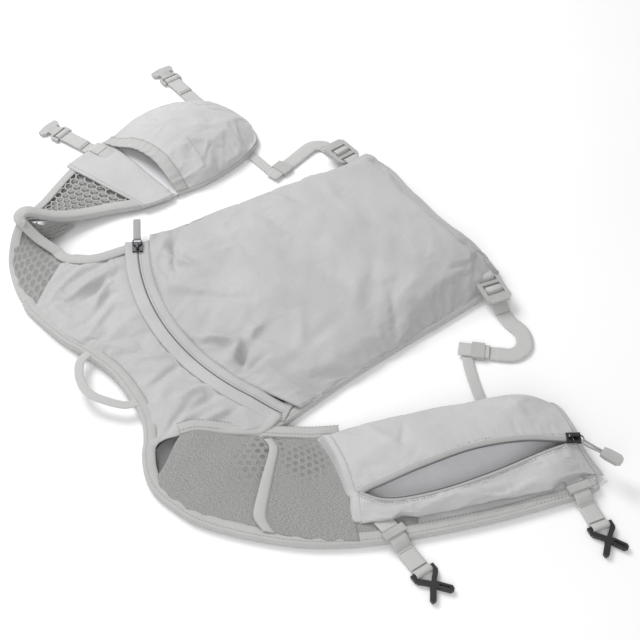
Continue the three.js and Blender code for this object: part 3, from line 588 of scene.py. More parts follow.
def pack_grid(m, n):
    v = np.linspace(0, 1, m)
    v = np.where(v < 0.2, 0.1 * (v / 0.2) ** 1.3, 0.1 + 0.9 * (v - 0.2) / 0.8)
    u = np.sin(np.linspace(-math.pi / 2, math.pi / 2, n)) * 0.55 + np.linspace(-1, 1, n) * 0.45
    half = np.interp(v, *zip(*PACK_SIDE))
    near = np.interp(v, *zip(*PACK_NEAR))
    x = np.where(u[None, :] < 0, u[None, :] * near[:, None], u[None, :] * half[:, None])
    top = ZIP_C[1] + np.sqrt((ZIP_R - 11.0) ** 2 - x ** 2)
    y = PACK_BOTTOM + (top - PACK_BOTTOM) * v[:, None]
    shoulder = np.clip(v / 0.07, 0, 1)
    rise = (1 - (1 - shoulder) ** 2.4) ** 0.55
    crown = np.interp(v, [0, 0.1, 0.3, 0.5, 0.7, 0.85, 0.95, 1.0],
        [30.5, 32, 30.5, 27, 22.0, 17.0, 14.0, 12.6])
    power = np.interp(v, [0, 0.25, 0.6, 0.9, 1.0], [7.0, 5.5, 4.0, 4.0, 9.0])[:, None]
    side = (1 - np.abs(u[None, :]) ** power) ** 0.7
    base = np.where(u[None, :] < 0, np.interp(v, [0, 0.9, 1.0], [4.5, 5.0, 7.5])[:, None],
        np.interp(v, [0, 0.9, 1.0], [4.5, 5.0, 11.5])[:, None])
    z = base + (crown[:, None] * (0.25 + 0.75 * rise[:, None]) - base) * side * (0.15 + 0.85
        * rise[:, None])
    mask = side * np.clip((1 - v) / 0.06, 0, 1)[:, None] * rise[:, None]
    soft = 0
    for a, b, w, h in (((114, 48), (92, 88), 5, 7.5), ((98, 58), (68, 72), 4, -7.0),
            ((98, 84), (36, 98), 4.5, 4.6), ((92, 70), (62, 58), 4.5, 5.5), ((78, 60), (64, 10), 8, -2.6),
            ((104, 40), (80, -50), 11, 2.2), ((64, 94), (14, 50), 7, 2.2), ((44, 90), (-6, 40), 6, -2.0),
            ((20, 104), (34, 66), 5, 1.6), ((-12, 102), (-40, 73), 4.5, 7.5),
            ((-40, 66), (-64, 87), 4.5, -10.0), ((-68, 100), (-68, 64), 3.6, -5.0),
            ((-54, 98), (-36, 46), 5.5, 6.0), ((-48, 64), (-80, 44), 5, 2.4),
            ((-74, 84), (-86, 10), 8, 2.4), ((-92, 76), (-70, -20), 7, -2.2),
            ((-104, 60), (-104, -40), 7, 1.8), ((-20, 40), (24, -50), 16, 1.6),
            ((30, 20), (50, -80), 14, -1.6), ((-60, -30), (-92, -120), 11, 2.4),
            ((-100, -60), (-72, -140), 8, -2.2), ((0, -60), (-30, -150), 16, -1.4),
            ((70, -60), (40, -150), 12, 1.6), ((-40, 10), (-80, 34), 7, 1.8), ((88, 0), (94, -70), 8, -2.0),
            ((-20, -165), (30, -150), 8, -1.2), ((0, 106), (-8, 76), 6, -1.4),
            ((-96, -150), (-60, -118), 9, 2.6), ((106, -20), (86, 20), 6, 2.0),
            ((-100, -100), (-84, -60), 6, 1.6),):
        soft = soft + crease(x, y, a, b, w, h)
    soft = soft + 1.2 * wobble(x, y, 42, 1.7, (1.0, 1.6), 0.5) + 0.6 * wobble(x, y, 17, 4.1, (1.0, 2.0),
        0.9)
    z = z + soft * mask
    return np.stack([x, y, z], 2)


pack = pack_grid(110, 150)
pack = settle(pack, grow=0.028, cap=3.5, pressure=0.3)
surface("pack_cloth", pack, SHELL, thick=1.0, replaces=("pack_shell",), uv="plane")

# side seams: the near one shows as a flat bound edge, the far one is rolled under the pack
near_edge = spline([(-108, -168, 5.5), (-113.5, -150, 5.2), (-116.5, -104, 5.2), (-118.5, -47, 5.2),
    (-122, 10, 5.2), (-127.5, 60, 5.4), (-131, 90, 5.8), (-133, 112, 6.5)], 150)
grid = wrap("pack_left_piping", near_edge, -1, 9, BINDING, top=0.9, replaces=("left_side_binding",))
stitches("pack_left_piping_stitches", [grid[1] + (0, 0, 0.15), grid[3] + (0, 0, 0.12)])
far_edge = spline([(104, -160, 5.0), (110, -110, 5.0), (115, -40, 5.0), (121, 30, 5.0), (125, 74, 6.0)],
    100)
wrap("pack_right_piping", far_edge, 1, 6, BINDING, top=0.6, replaces=("right_side_binding",))

# back panel seen from below and round the edges
out_right = [(88, -176, 2), (103, -160, 2), (110, -105, 2), (117, -37, 2), (123, 40, 2), (126, 89, 2),
    (130, 98, 2), (136, 124, 2), (148, 144, 2)]
out_left = [(-88, -176, 2), (-103, -160, 2), (-110, -105, 2), (-117, -37, 2), (-123, 40, 2), (-126, 89, 2),
    (-130, 108, 2), (-121, 124, 2), (-99, 152, 2)]
neck_low = [(-106, 203, 2), (-78, 189, 2), (-40, 178, 2), (-4, 178, 2), (29, 185, 2), (62, 196, 2),
    (106, 203, 2)]
panel = coons(spline([(-88, -176, 2), (0, -178, 2), (88, -176, 2)], 60), spline(neck_low, 60),
    spline(out_left + [(-106, 203, 2)], 90), spline(out_right + [(106, 203, 2)], 90))
panel[:, :, 2] = 1.6 + 0.5 * wobble(panel[:, :, 0], panel[:, :, 1], 30, 9.0)
surface("back_panel_mesh", panel, KNIT, thick=1.4, replaces=("back_lining",), uv="plane")

# ---------------------------------------------------------------- yoke
yoke_left = [(-126, 88, 8.0), (-130, 107, 7.0), (-121, 124, 8.0), (-99, 152, 9.5), (-95, 166, 10),
    (-90, 182, 9), (-98, 198, 7)]
yoke_right = [(126, 88, 9.5), (130, 98, 9), (136, 124, 8.5), (148, 144, 8), (131, 172, 7.5),
    (106, 203, 5.5)]
neck = [(-98, 198, 7), (-78, 189, 7.5), (-40, 178, 8), (-4, 177.5, 8), (29, 185, 8), (62, 196, 7),
    (106, 203, 5.5)]
lower = zip_arc(ZIP_R + 9.6, -YOKE_ANGLE, YOKE_ANGLE, 150, 12.2)
lower[:, 2] -= near_drop(np.linspace(-YOKE_ANGLE, YOKE_ANGLE, 150))
yoke = coons(lower, spline(neck, 150), spline(yoke_left, 90), spline(yoke_right, 90))
yx, yy = yoke[:, :, 0], yoke[:, :, 1]
yu = np.linspace(0, 1, 150)[None, :]
yv = np.linspace(0, 1, 90)[:, None]
near_lip = np.clip(yv / 0.2, 0, 1) ** 1.4
ymask = near_lip * np.clip((1 - yv) / 0.06, 0, 1) * np.clip(yu / 0.03, 0, 1) * np.clip((1 - yu) / 0.03, 0,
    1)
ysoft = 0
for a, b, w, h in (((96, 169), (109, 114), 4, 4.2), ((87, 160), (99, 122), 3.5, -3.6),
        ((72, 157), (107, 116), 4, 3.4), ((112, 160), (120, 120), 4.5, -2.8),
        ((60, 170), (84, 130), 4.5, -2.4), ((46, 176), (74, 132), 4.5, 2.4),
        ((126, 140), (104, 186), 4.5, 2.2), ((30, 168), (44, 134), 6, 1.2),
        ((-4, 150), (-30, 108), 4.5, 3.6), ((-36, 160), (-30, 124), 4, -2.4),
        ((-36, 112), (-64, 104), 4.5, 4.4), ((-62, 147), (-66, 106), 4.5, 5.2),
        ((-78, 150), (-76, 112), 4, -4.0), ((-92, 160), (-96, 116), 4, 3.2),
        ((-70, 178), (-40, 150), 5, 2.0), ((-112, 110), (-90, 100), 5, 1.6),
        ((110, 192), (60, 178), 4, 2.0), ((120, 176), (84, 168), 3.5, 1.8),
        ((-86, 176), (-70, 140), 4, -2.4),):
    ysoft = ysoft + crease(yx, yy, a, b, w, h)
ysoft = ysoft + 1.0 * wobble(yx, yy, 30, 6.2, (1.0, 2.0), 1.3) + 0.5 * wobble(yx, yy, 12, 2.2)
yoke[:, :, 2] += (ysoft + 1.2) * ymask
yoke = settle(yoke, grow=0.028, cap=3.0, pressure=0.2, weight=near_lip * np.ones((1, 150)))
surface("yoke_cloth", yoke, YOKE, thick=1.0, replaces=("back_yoke",), uv="plane")

# ---------------------------------------------------------------- back zip
half = 31.0
angles = np.linspace(-half, half, 160)
LIP = ((11.8, 11.8), (11.0, 12.9), (10.2, 13.15), (6.0, 13.0), (2.6, 13.05), (1.2, 13.0), (0.6, 12.6),
    (0.7, 12.0))
inner_lip = np.array([zip_arc(ZIP_R - r, -half, half, 160, z) for r, z in LIP])
outer_lip = np.array([zip_arc(ZIP_R + r, -half, half, 160, z) for r, z in LIP])
inner_lip[:, :, 2] -= near_drop(angles)[None, :]
outer_lip[:, :, 2] -= near_drop(angles)[None, :]
for grid in (inner_lip, outer_lip):
    flutter = 0.35 * np.sin(np.linspace(0, 30, 160)) * np.sin(np.linspace(0, 7, 160))
    grid[1:4, :, 2] += flutter[None, :] * np.array([0.6, 0.6, 1.0])[:, None]
surface("back_zip_lip_lower", inner_lip, SHELL, thick=0.5, replaces=("back_zip_tape_lower",))
surface("back_zip_lip_upper", outer_lip[::-1], YOKE, thick=0.5, replaces=("back_zip_tape_upper",))
coil_line = zip_arc(ZIP_R, -half, half, 420, 12.75)
coil_line[:, 2] += 0.12 * np.sin(np.arange(420) * 2.1) - 0.35 - near_drop(np.linspace(-half, half, 420))
tube("back_zip_teeth", coil_line, 0.95, COIL, replaces=("back_zip_coil",), sides=8)
stitches("back_zip_stitches", [inner_lip[2] + (0, 0, 0.15), outer_lip[2] + (0, 0, 0.15),
    inner_lip[4] + (0, 0, 0.1), outer_lip[4] + (0, 0, 0.1)], pitch=2.8)

end_across = np.array([zip_arc(ZIP_R + r, -31.3, -31.3, 1, 7.4 - 0.02 * r)[0]
    for r in np.linspace(-12.5, 7, 30)])
band("back_zip_near_end", end_across, 7.0, 0.9, TAPE)

# ---------------------------------------------------------------- right strap, far side
seam = spline([(106, 203, 5.5), (131, 172, 7.5), (148, 144, 8)], 50)
tip = spline([(193, 167, 34.4), (192.5, 166, 34), (192, 165, 33.2)], 50)
shoulder_outer = spline([(106, 203, 5.5), (140, 201, 6), (167, 193, 11), (184, 180, 23), (193, 167, 34.4)],
    70)
shoulder_inner = spline([(148, 144, 8), (160, 149, 10), (174, 158, 18), (185, 163, 27), (192, 165, 33.2)],
    70)
shoulder = coons(shoulder_outer, shoulder_inner, seam, tip)
bulge = np.sin(np.linspace(0, math.pi, 50))[:, None] * np.sin(np.linspace(0, math.pi, 70))[None, :]
shoulder[:, :, 2] += 3.0 * bulge + 0.5 * wobble(shoulder[:, :, 0], shoulder[:, :, 1], 18, 3.3)
surface("right_shoulder_cloth", shoulder, KNIT_FAR, thick=1.2, replaces=("right_shoulder_mesh",))
shoulder_rows = wrap("right_shoulder_outer_binding", spline([(118, 204, 5.5), (140, 202.5, 6),
    (167, 195, 10.5), (185, 182, 22), (194, 168, 34.6)], 80), -1, 9, BINDING,
    replaces=("right_outer_binding",))
stitches("right_shoulder_outer_stitches", [shoulder_rows[1] + (0, 0, 0.1)])
arm_edge = spline([(124, 84, 10), (127, 96, 10), (133, 124, 9.5), (147, 143, 9), (160, 147.5, 11),
    (174, 156, 19), (185, 161.5, 28), (192, 163.5, 35), (193.5, 158, 36.2), (190.5, 146, 29),
    (187.5, 128, 19), (185, 106, 12), (180, 78, 8), (172, 52, 6.5), (167.5, 20, 6)], 200)
s_arm = frames(arm_edge)[1]
arm_rows = []
for off, dz in ((-1.0, -4.5), (-1.1, -1.4), (-0.8, 0.1), (0.1, 0.6), (4.0, 0.8), (8.8, 0.65), (9.3, 0.1)):
    row = arm_edge + s_arm * off
    row[:, 2] = arm_edge[:, 2] + dz
    arm_rows.append(row)
arm = np.array(arm_rows)
surface("right_armhole_band", arm, BINDING, thick=0.7, replaces=("right_armhole_binding",))
stitches("right_armhole_stitches", [arm[5] + (0, 0, 0.15)])

# front part of the far strap: net panel and smooth base
front_inner = spline([(191, 163, 32.4), (189, 146, 26), (186.5, 128, 17), (184, 106, 11), (179, 78, 7),
    (171, 52, 6), (167, 20, 5.5)], 90)
front_outer = spline([(194, 167, 33.4), (208, 152, 23.5), (224, 132, 15), (240, 112, 10), (255, 90, 7),
    (267, 66, 6), (278, 30, 5.5)], 90)
front = coons(front_inner, front_outer, spline([front_inner[0], front_outer[0]], 40),
    spline([front_inner[-1], front_outer[-1]], 40))


def within(grid, u, v, line):
    """True on the near side of a line across the panel, inside the panel's edges."""
    if not (0.0 <= u <= 1.0 and 0.0 <= v <= 1.0):
        return False
    if line is None:
        return True
    (ax, ay), (bx, by) = line
    p = at(grid, u, v)
    return (bx - ax) * (p[1] - ay) - (by - ay) * (p[0] - ax) < 0


def hex_net(name, grid, beyond, pitch, rib, material, replaces=()):
    """Knitted open net over a grid: one yarn along each side of hexagonal cells."""
    m, n = grid.shape[:2]
    wide = np.linalg.norm(np.diff(grid[m // 2], axis=0), axis=1).sum()
    tall = np.linalg.norm(np.diff(grid[:, n // 2], axis=0), axis=1).sum()
    r = pitch / math.sqrt(3)
    nodes, edges = {}, set()
    for q in range(-2, int(wide / pitch) + 3):
        for k in range(-2, int(tall / (1.5 * r)) + 3):
            cx, cy = (q + 0.5 * (k % 2)) * pitch, k * 1.5 * r
            ring = []
            for a in range(6):
                x, y = cx + r * math.sin(math.radians(60 * a)), cy + r * math.cos(math.radians(60 * a))
                key = (round(x, 2), round(y, 2))
                nodes[key] = (x / wide, y / tall)
                ring.append(key)
            for a in range(6):
                edges.add(tuple(sorted((ring[a], ring[(a + 1) % 6]))))
    verts, faces = [], []
    for a, b in sorted(edges):
        (ua, va), (ub, vb) = nodes[a], nodes[b]
        ends = []
        for (u0, v0), (u1, v1) in (((ua, va), (ub, vb)), ((ub, vb), (ua, va))):
            share = 0.0
            if not within(grid, u0, v0, beyond):
                share = next((k for k in (0.2, 0.4, 0.6, 0.8)
                    if within(grid, u0 + (u1 - u0) * k, v0 + (v1 - v0) * k, beyond)), None)
            ends.append(None if share is None else at(grid, u0 + (u1 - u0) * share, v0 + (v1 - v0) * share))
        if ends[0] is None or ends[1] is None:
            continue
        p, q = ends
        d = q - p
        length = np.linalg.norm(d)
        if length < 0.5:
            continue
        d /= length
        s = np.cross(d, (0, 0, 1.0))
        s /= np.linalg.norm(s) + 1e-9
        up = np.cross(s, d)
        k = len(verts)
        for f, w in ((-rib * 0.3, 1.25), (length * 0.5, 0.85), (length + rib * 0.3, 1.25)):
            for c in (0, 60, 120, 180, 240, 300):
                o = s * math.cos(math.radians(c)) * rib * w + up * math.sin(math.radians(c)) * rib * 0.6
                verts.append(tuple((p + d * f + o) * MM))
        faces += hoops(3, 6, k)
    return finish_object(name, new_mesh(name, verts, faces), material, ROOT, replaces)


NET_LINE = ((158, 47), (262, 87))
hex_net("right_net_yarns", front + (0, 0, 0.4), NET_LINE[::-1], 8.4, 0.95, NET,
    replaces=("right_net_panel",))
net_back = front[:, :84].copy()
net_back[:, :, 2] -= 2.6
surface("right_net_backing", net_back, BACKING, thick=0.8, uv="plane")
base_in = spline([(168, 51.5, 7), (165.5, 36, 6.5), (166, 18, 6)], 30)
base_out = spline([(262, 86, 8.5), (270, 62, 7), (277, 32, 6)], 30)
base = across([base_in * (1 - k) + base_out * k for k in np.linspace(0, 1, 30)], 40).transpose(1, 0, 2)
base[:, :, 2] += 1.2 + 0.8 * wobble(base[:, :, 0], base[:, :, 1], 20, 8.0)
surface("right_strap_base", base, POCKET, thick=2.0, uv="plane")
stitches("right_strap_base_stitches", [base[2] + (0, 0, 0.25)])
front_rows = wrap("right_strap_outer_binding", front_outer[3:] + (0, 0, 0.4), -1, 8, BINDING)
stitches("right_strap_outer_stitches", [front_rows[1] + (0, 0, 0.1)])

# inner layer of open net under the raised shoulder edge
under = coons(spline([(192.5, 165, 31.4), (186, 157, 11), (178.5, 149, 6.5)], 40),
    spline([(193, 163, 32.2), (190, 142, 14), (186, 117, 5.5)], 40),
    spline([(192.5, 165, 31.4), (193, 163, 32.2)], 30), spline([(178.5, 149, 6.5), (181, 133, 5.5),
    (186, 117, 5.5)], 30))
hex_net("right_inner_net_yarns", under + (0, 0, 0.6), None, 8.4, 0.9, NET)
surface("right_inner_net_backing", under - (0, 0, 1.2), BACKING, thick=0.6, uv="plane")

# ---------------------------------------------------------------- gel pocket
mouth_line = [(168, 12, 6), (180, 13, 14), (205, 14, 20), (222, 17, 21), (238, 21, 18), (258, 30, 11),
    (276, 37, 6.5)]
gel_left = [(168, 12, 6), (166, -20, 6), (171, -56, 6), (181, -84, 6), (192, -97, 6)]
gel_right = [(276, 37, 6.5), (284, 5, 6), (291, -28, 6), (285, -64, 6), (270, -86, 6)]
gel_end = [(192, -97, 6), (212, -101, 6), (232, -99, 6), (252, -94, 6), (270, -86, 6)]
gel = coons(spline(gel_end, 110), spline(mouth_line, 110), spline(gel_left, 90)[::-1],
    spline(gel_right, 90)[::-1])
gv = np.linspace(0, 1, 90)[:, None]
gu = np.linspace(0, 1, 110)[None, :]
dome = (1 - np.abs(2 * gu - 1) ** 3.2) ** 0.7 * (1 - (1 - np.clip(gv / 0.55, 0, 1)) ** 2.4) ** 0.6
plateau = np.interp(gv, [0, 0.3, 0.7, 1.0], [17, 18, 16, 0]) * dome
fill = plateau * np.clip((1 - gv) / 0.25, 0, 1) ** 0.5
pleat = 0.6 * np.sin(gu * 2 * math.pi * 13 + 2.2 * np.sin(gu * 9)) * (0.55 + 0.45
    * np.sin(gu * 14 + 1)) * np.exp(-((1 - gv) / 0.16)) * dome
fold = sum(crease(gel[:, :, 0], gel[:, :, 1], a, b, w, h) for a, b, w,
    h in (((200, -10), (230, -70), 9, 1.8), ((240, 5), (262, -50), 7, -1.8),
    ((215, 10), (205, -60), 6, -1.6), ((255, 12), (232, -40), 5, 1.6)))
gel[:, :, 2] += fill + pleat + (fold + 1.0 * wobble(gel[:, :, 0], gel[:, :, 1], 26, 7.7)) * dome
gel = settle(gel, grow=0.035, cap=3.0, pressure=0.4)
gel = keep_back(gel, RIGHT_LOWER_ROOT, RIGHT_LOWER_TURN, 5.5, 9)
surface("gel_pocket_cloth", gel, POCKET, thick=1.0, replaces=("gel_pocket",),
    uv="plane")
lip_edge = gel[-1]
back = np.array([lip_edge + (0, 1.5, 0.2), lip_edge + (0, 0.5, 1.0), lip_edge + (-0.5, -3, 1.1),
    gel[-9] + (0, 0, 0.9), gel[-10] + (0, 0, 0.1)])
surface("gel_pocket_elastic", back[::-1], BINDING, thick=0.6, replaces=("gel_pocket_band",))
stitches("gel_pocket_elastic_stitches", [back[3] + (0, 0, 0.2)])
under_gel = coons(spline(gel_end, 60), spline([(168, 24, 5.5), (222, 33, 6.5), (278, 44, 6)], 60),
    spline(gel_left[::-1] + [(168, 24, 5.5)], 60), spline(gel_right[::-1] + [(278, 44, 6)], 60))
under_gel[:, :, 2] = np.minimum(under_gel[:, :, 2], 5.4)
under_gel = keep_back(under_gel, RIGHT_LOWER_ROOT, RIGHT_LOWER_TURN, 7.0, 9)
surface("right_strap_under_pocket", under_gel, LINING, thick=3.0, replaces=("right_strap_pad",),
    uv="plane")
gel_rim = spline(gel_left + gel_end[1:] + gel_right[::-1][1:-1], 160) * (1, 1, 0) + (0, 0, 5.6)
wrap("gel_pocket_edge_binding", keep_back(gel_rim, RIGHT_LOWER_ROOT, RIGHT_LOWER_TURN, 6.4, 9), 1, 5,
    BINDING)

# ---------------------------------------------------------------- left strap, near side
l_in = spline([(-95, 166, 12), (-99, 153, 11.5), (-110, 138, 9), (-121, 124, 7), (-146, 91, 5.5),
    (-161, 70, 5.5), (-178, 38, 5.5), (-200, -8, 5.5), (-222, -54, 5.5), (-243, -101, 5.5)], 160)
l_out = spline([(-120, 207, 6), (-136, 208, 5.5), (-174, 197, 5), (-208, 171, 5), (-241, 137, 5),
    (-267, 97, 5), (-287, 53, 5), (-308, -1, 5), (-326, -60, 5), (-331, -86, 5)], 160)
l_top = spline([(-95, 166, 12), (-101.4, 175.5, 12.5), (-112, 191, 9.5), (-120, 207, 6)], 70)
l_bot = spline([(-243, -101, 5.5), (-262, -107, 5), (-300, -101, 5), (-331, -86, 5)], 70)
left = coons(l_in, l_out, l_top, l_bot)
lv = np.linspace(0, 1, 70)[:, None]
lu = np.linspace(0, 1, 160)[None, :]
lmask = np.sin(np.pi * np.clip(lv, 0, 1)) ** 0.5 * np.clip(lu / 0.04, 0, 1)
lx, ly = left[:, :, 0], left[:, :, 1]
left[:, :, 2] += (1.5 + 1.4 * wobble(lx, ly, 34, 12.0) + 0.5 * wobble(lx, ly, 14, 5.0)
    + crease(lx, ly, (-120, 160), (-160, 130), 10, 2.0) + crease(lx, ly, (-150, 160), (-190, 140), 9,
    -1.4)) * lmask
surface("left_strap_cloth", left[:, :96], KNIT, thick=1.4, replaces=("left_shoulder_mesh",),
    uv="plane")
surface("left_strap_base", left[:, 95:], POCKET, thick=1.4, replaces=("left_strap_pad",),
    uv="plane")
stitches("left_strap_base_stitches", [left[56, 97:158] + (0, 0, 0.3), left[50, 97:158] + (0, 0, 0.3)])
rim = spline([(120, 205.5, 5.8), (106, 205.5, 6.2), (62, 198, 7.8), (29, 187, 8.8), (-4, 179.5, 8.8),
    (-40, 180, 8.8), (-62, 184, 8.6), (-80, 192.5, 8.0), (-92, 201, 7.2), (-110, 209, 6.3),
    (-128, 211.5, 5.8), (-149, 207, 5.6), (-174, 197.5, 5.5), (-208, 171.5, 5.5), (-241, 137.5, 5.5),
    (-267, 97, 5.5), (-287, 53, 5.5), (-308, -1, 5.5), (-326, -60, 5.5), (-331, -86, 5.5)], 420)
rim_rows = wrap("rim_band", rim, 1, 10.5, BINDING, replaces=("left_outer_binding", "neck_binding"), top=0.9)
stitches("rim_stitches", [rim_rows[1] + (0, 0, 0.15), rim_rows[3] + (0, 0, 0.12)])
armhole_rows = wrap("left_armhole_band", l_in[:70] + (0, 0, 0.6), 1, 11, BINDING,
    replaces=("left_armhole_binding",))
stitches("left_armhole_stitches", [armhole_rows[1] + (0, 0, 0.12), armhole_rows[3] + (0, 0, 0.2)])

# shaded slot where the strap is folded over at the shoulder
slot = coons(spline([(-95, 166, 9), (-90, 180, 7), (-98, 197, 6.5)], 24),
    spline([(-101.4, 175.5, 8), (-112, 191, 7), (-117, 201, 6)], 24),
    spline([(-95, 166, 9), (-101.4, 175.5, 8)], 16), spline([(-98, 197, 6.5), (-117, 201, 6)], 16))
slot[:, :, 2] -= 3.5 * np.sin(np.linspace(0, math.pi, 16))[:, None] * np.ones((1, 24))
surface("left_fold_slot", slot, SHADE, thick=0.8, uv="plane")

# mesh pocket with its bound mouth
mouth_l = spline([(-137, 110, 7.5), (-150, 113, 10), (-165, 127, 12), (-182, 145, 10.5), (-197, 159, 8),
    (-212, 160, 6.5)], 60)
pocket_r = spline([(-171, 66, 6.5), (-195, 74, 8), (-222, 86, 8.5), (-262, 103, 6.5)], 60)
net_pocket = coons(mouth_l, pocket_r, spline([(-137, 110, 7.5), (-150, 90, 7), (-171, 66, 6.5)], 50),
    spline([(-212, 160, 6.5), (-240, 132, 6.3), (-262, 103, 6.5)], 50))
mu, mv = np.linspace(0, 1, 60)[None, :], np.linspace(0, 1, 50)[:, None]
net_pocket[:, :, 2] += 2.6 * np.sin(np.pi * mu) ** 0.7 * np.cos(mv
    * math.pi / 2) + 0.8 * wobble(net_pocket[:, :, 0], net_pocket[:, :, 1], 22, 15.0) * np.sin(np.pi * mu)
surface("left_mesh_pocket_cloth", net_pocket, KNIT, thick=0.9, replaces=("mesh_pocket",))
mouth_rows = [net_pocket[0] + (0, 0, -0.8), net_pocket[0] + (0.6, 1.0, 0.3), net_pocket[0] + (0, 0, 1.1),
    net_pocket[2] + (0, 0, 1.2), net_pocket[5] + (0, 0, 1.0), net_pocket[6] + (0, 0, 0.2)]
surface("left_mesh_pocket_band", np.array(mouth_rows)[::-1], BINDING, thick=0.6,
    replaces=("mesh_pocket_band",))
stitches("left_mesh_pocket_stitches", [mouth_rows[4] + (0, 0, 0.15)])

# ---------------------------------------------------------------- phone pocket
N = 120
ground = spline([(-166, 64, 6), (-189, 12, 5.5), (-212, -40, 5.5), (-233, -88, 5.5), (-246, -104, 6)], N)
wall = spline([(-167, 66, 13), (-186, 14, 17), (-208, -38, 19), (-230, -88, 18), (-246, -106, 12)], N)
crest = spline([(-175, 68, 19), (-190, 30, 27), (-212, -24, 29), (-236, -78, 29), (-256, -105, 20)], N)
mid = spline([(-200, 73, 19), (-213, 42, 28), (-232, -14, 31), (-252, -66, 30), (-276, -100, 22)], N)
upper = spline([(-226, 81, 12.5), (-228.5, 71, 16.4), (-231.5, 60, 18.8), (-241, 28, 27.5),
    (-252, -15, 30.5), (-267, -54, 28), (-282, -80, 24), (-291, -95, 21)], N)
shell_up = across([ground, wall, crest, mid, upper], 60)
px, py = shell_up[:, :, 0], shell_up[:, :, 1]
pm = np.sin(np.pi * np.linspace(0, 1, 60))[:, None] * np.ones((1, N))
shell_up[:, :, 2] += pm * (1.2 * wobble(px, py, 46, 21.0, (1, 2), 1.1) + 0.25 * wobble(px, py, 17, 3.0)
    + crease(px, py, (-185, 40), (-236, 30), 6, 1.6) + crease(px, py, (-196, 10), (-222, 34), 5, -1.6)
    + crease(px, py, (-230, -70), (-258, -84), 6, 1.5) + crease(px, py, (-214, -40), (-246, -60), 8, -1.2))
shell_up = settle(shell_up, grow=0.010, cap=1.8, pressure=0.4)
surface("phone_pocket_upper", shell_up, POCKET, thick=1.0, replaces=("phone_pocket",),
    uv="plane")
lowlip = spline([(-229, 80, 14), (-245, 70, 15), (-257, 52, 16), (-270, 18, 17.5), (-280, -23, 19),
    (-287, -62, 20.5), (-293, -93, 20.3)], N)
bulge1 = spline([(-238, 86, 13), (-254, 72, 15.5), (-266, 44, 17.5), (-282, 2, 19), (-294, -38, 19.5),
    (-302, -72, 18), (-304, -92, 15)], N)
bulge2 = spline([(-246, 90, 10), (-262, 70, 12.5), (-276, 34, 13.5), (-294, -12, 14), (-306, -48, 14),
    (-314, -76, 12), (-314, -92, 10)], N)
flap = spline([(-250, 93, 7.5), (-264, 68, 8.2), (-279, 34, 8.5), (-302, -22, 8.5), (-315, -55, 8.5),
    (-322, -80, 8), (-321, -92, 7)], N)
tuck = flap * (1, 1, 0) + (3.5, 1.5, 6.4)
shell_low = across([lowlip, bulge1, bulge2, flap, tuck], 44)
qx, qy = shell_low[:, :, 0], shell_low[:, :, 1]
qm = np.sin(np.pi * np.linspace(0, 1, 44))[:, None] * np.ones((1, N))
shell_low[:, :, 2] += qm * (1.2 * wobble(qx, qy, 24, 31.0, (1, 2.4), 1.15)
    + crease(qx, qy, (-268, 20), (-304, -60), 5, -2.0) + crease(qx, qy, (-262, 52), (-292, -20), 5, 1.6)
    + crease(qx, qy, (-284, -40), (-310, -84), 4, 1.4))
shell_low = settle(shell_low, grow=0.018, cap=1.8, pressure=0.2)
shell_low = keep_back(shell_low, (-320, -71), 167.4, 7.0, 10)
shell_low = keep_back(shell_low, (-268.5, 77.5), 179.3, 7.0, 10)
surface("phone_pocket_lower", shell_low, POCKET, thick=1.0, uv="plane")

# left end of the pocket: the panel edge that laps over the mesh
start = np.array([shell_up[k, 0] for k in range(0, 60)] + [shell_low[k, 0] for k in range(1, 36)])
start = even(start, 80)
endwall = np.array([start, start + (3.0, 4.5, -1.5), start * (1, 1, 0) + (4.5, 7.0, 7.2),
    start * (1, 1, 0) + (5.0, 8.0, 6.6)])
surface("phone_pocket_end_left", across(list(endwall), 14), POCKET, thick=0.8,
    uv="plane")
stop = np.array([shell_up[k, -1] for k in range(0, 60)] + [shell_low[k, -1] for k in range(1, 40)])
stop = even(stop, 80)
far_end = across([stop, stop * (1, 1, 0.75) + (-2.5, -4.0, 0), stop * (1, 1, 0.3) + (-3.5, -6.0, 2),
    stop * (1, 1, 0) + (-3.0, -5.5, 5.2)], 14)
surface("phone_pocket_end_right", far_end, POCKET, thick=0.8, uv="plane")

# pocket mouth: tapes with teeth, and the lining that shows inside
for label, lip, sign in (("inner", upper, 1), ("outer", lowlip, -1)):
    toward = frames(lip)[1] * sign
    if ((toward[N // 2, :2] @ (lowlip - upper)[N // 2, :2]) * sign) < 0:
        toward = -toward
    tape_grid = np.array([lip - toward * 0.5 + (0, 0, 0.6), lip + toward * 0.8 + (0, 0, 0.3),
        lip + toward * 2.4 + (0, 0, -0.8), lip + toward * 3.4 + (0, 0, -1.8)])
    surface(f"phone_zip_lip_{label}", tape_grid, TAPE, thick=0.5, replaces=(f"phone_zip_tape_{label}",))
    teeth = lip + toward * 3.5 + (0, 0, -1.7)
    tube(f"phone_zip_teeth_{label}", even(teeth, 300), 0.75, COIL, sides=6,
        replaces=("phone_zip_coil",) if label == "inner" else ())
    stitches(f"phone_zip_stitches_{label}", [lip - toward * 2.6 + (0, 0, 0.45)], pitch=2.8)
inner1 = upper + (2, 1, -3.5)
inner2 = mid * (1, 1, 0) + (-4, -2, 14)
inner3 = (mid * 0.45 + lowlip * 0.55) * (1, 1, 0) + (0, 0, 8.2)
inner4 = lowlip * (1, 1, 0) + (4, 2, 9)
inner5 = lowlip + (1.0, 0.5, -3.0)
surface("phone_pocket_lining", across([inner1, inner2, inner3, inner4, inner5], 40), LINING, thick=0.5,
    uv="plane")
stitches("phone_flap_stitches", [flap + (-5.5, -2.2, -1.6), flap + (-9.0, -3.5, -2.2)])

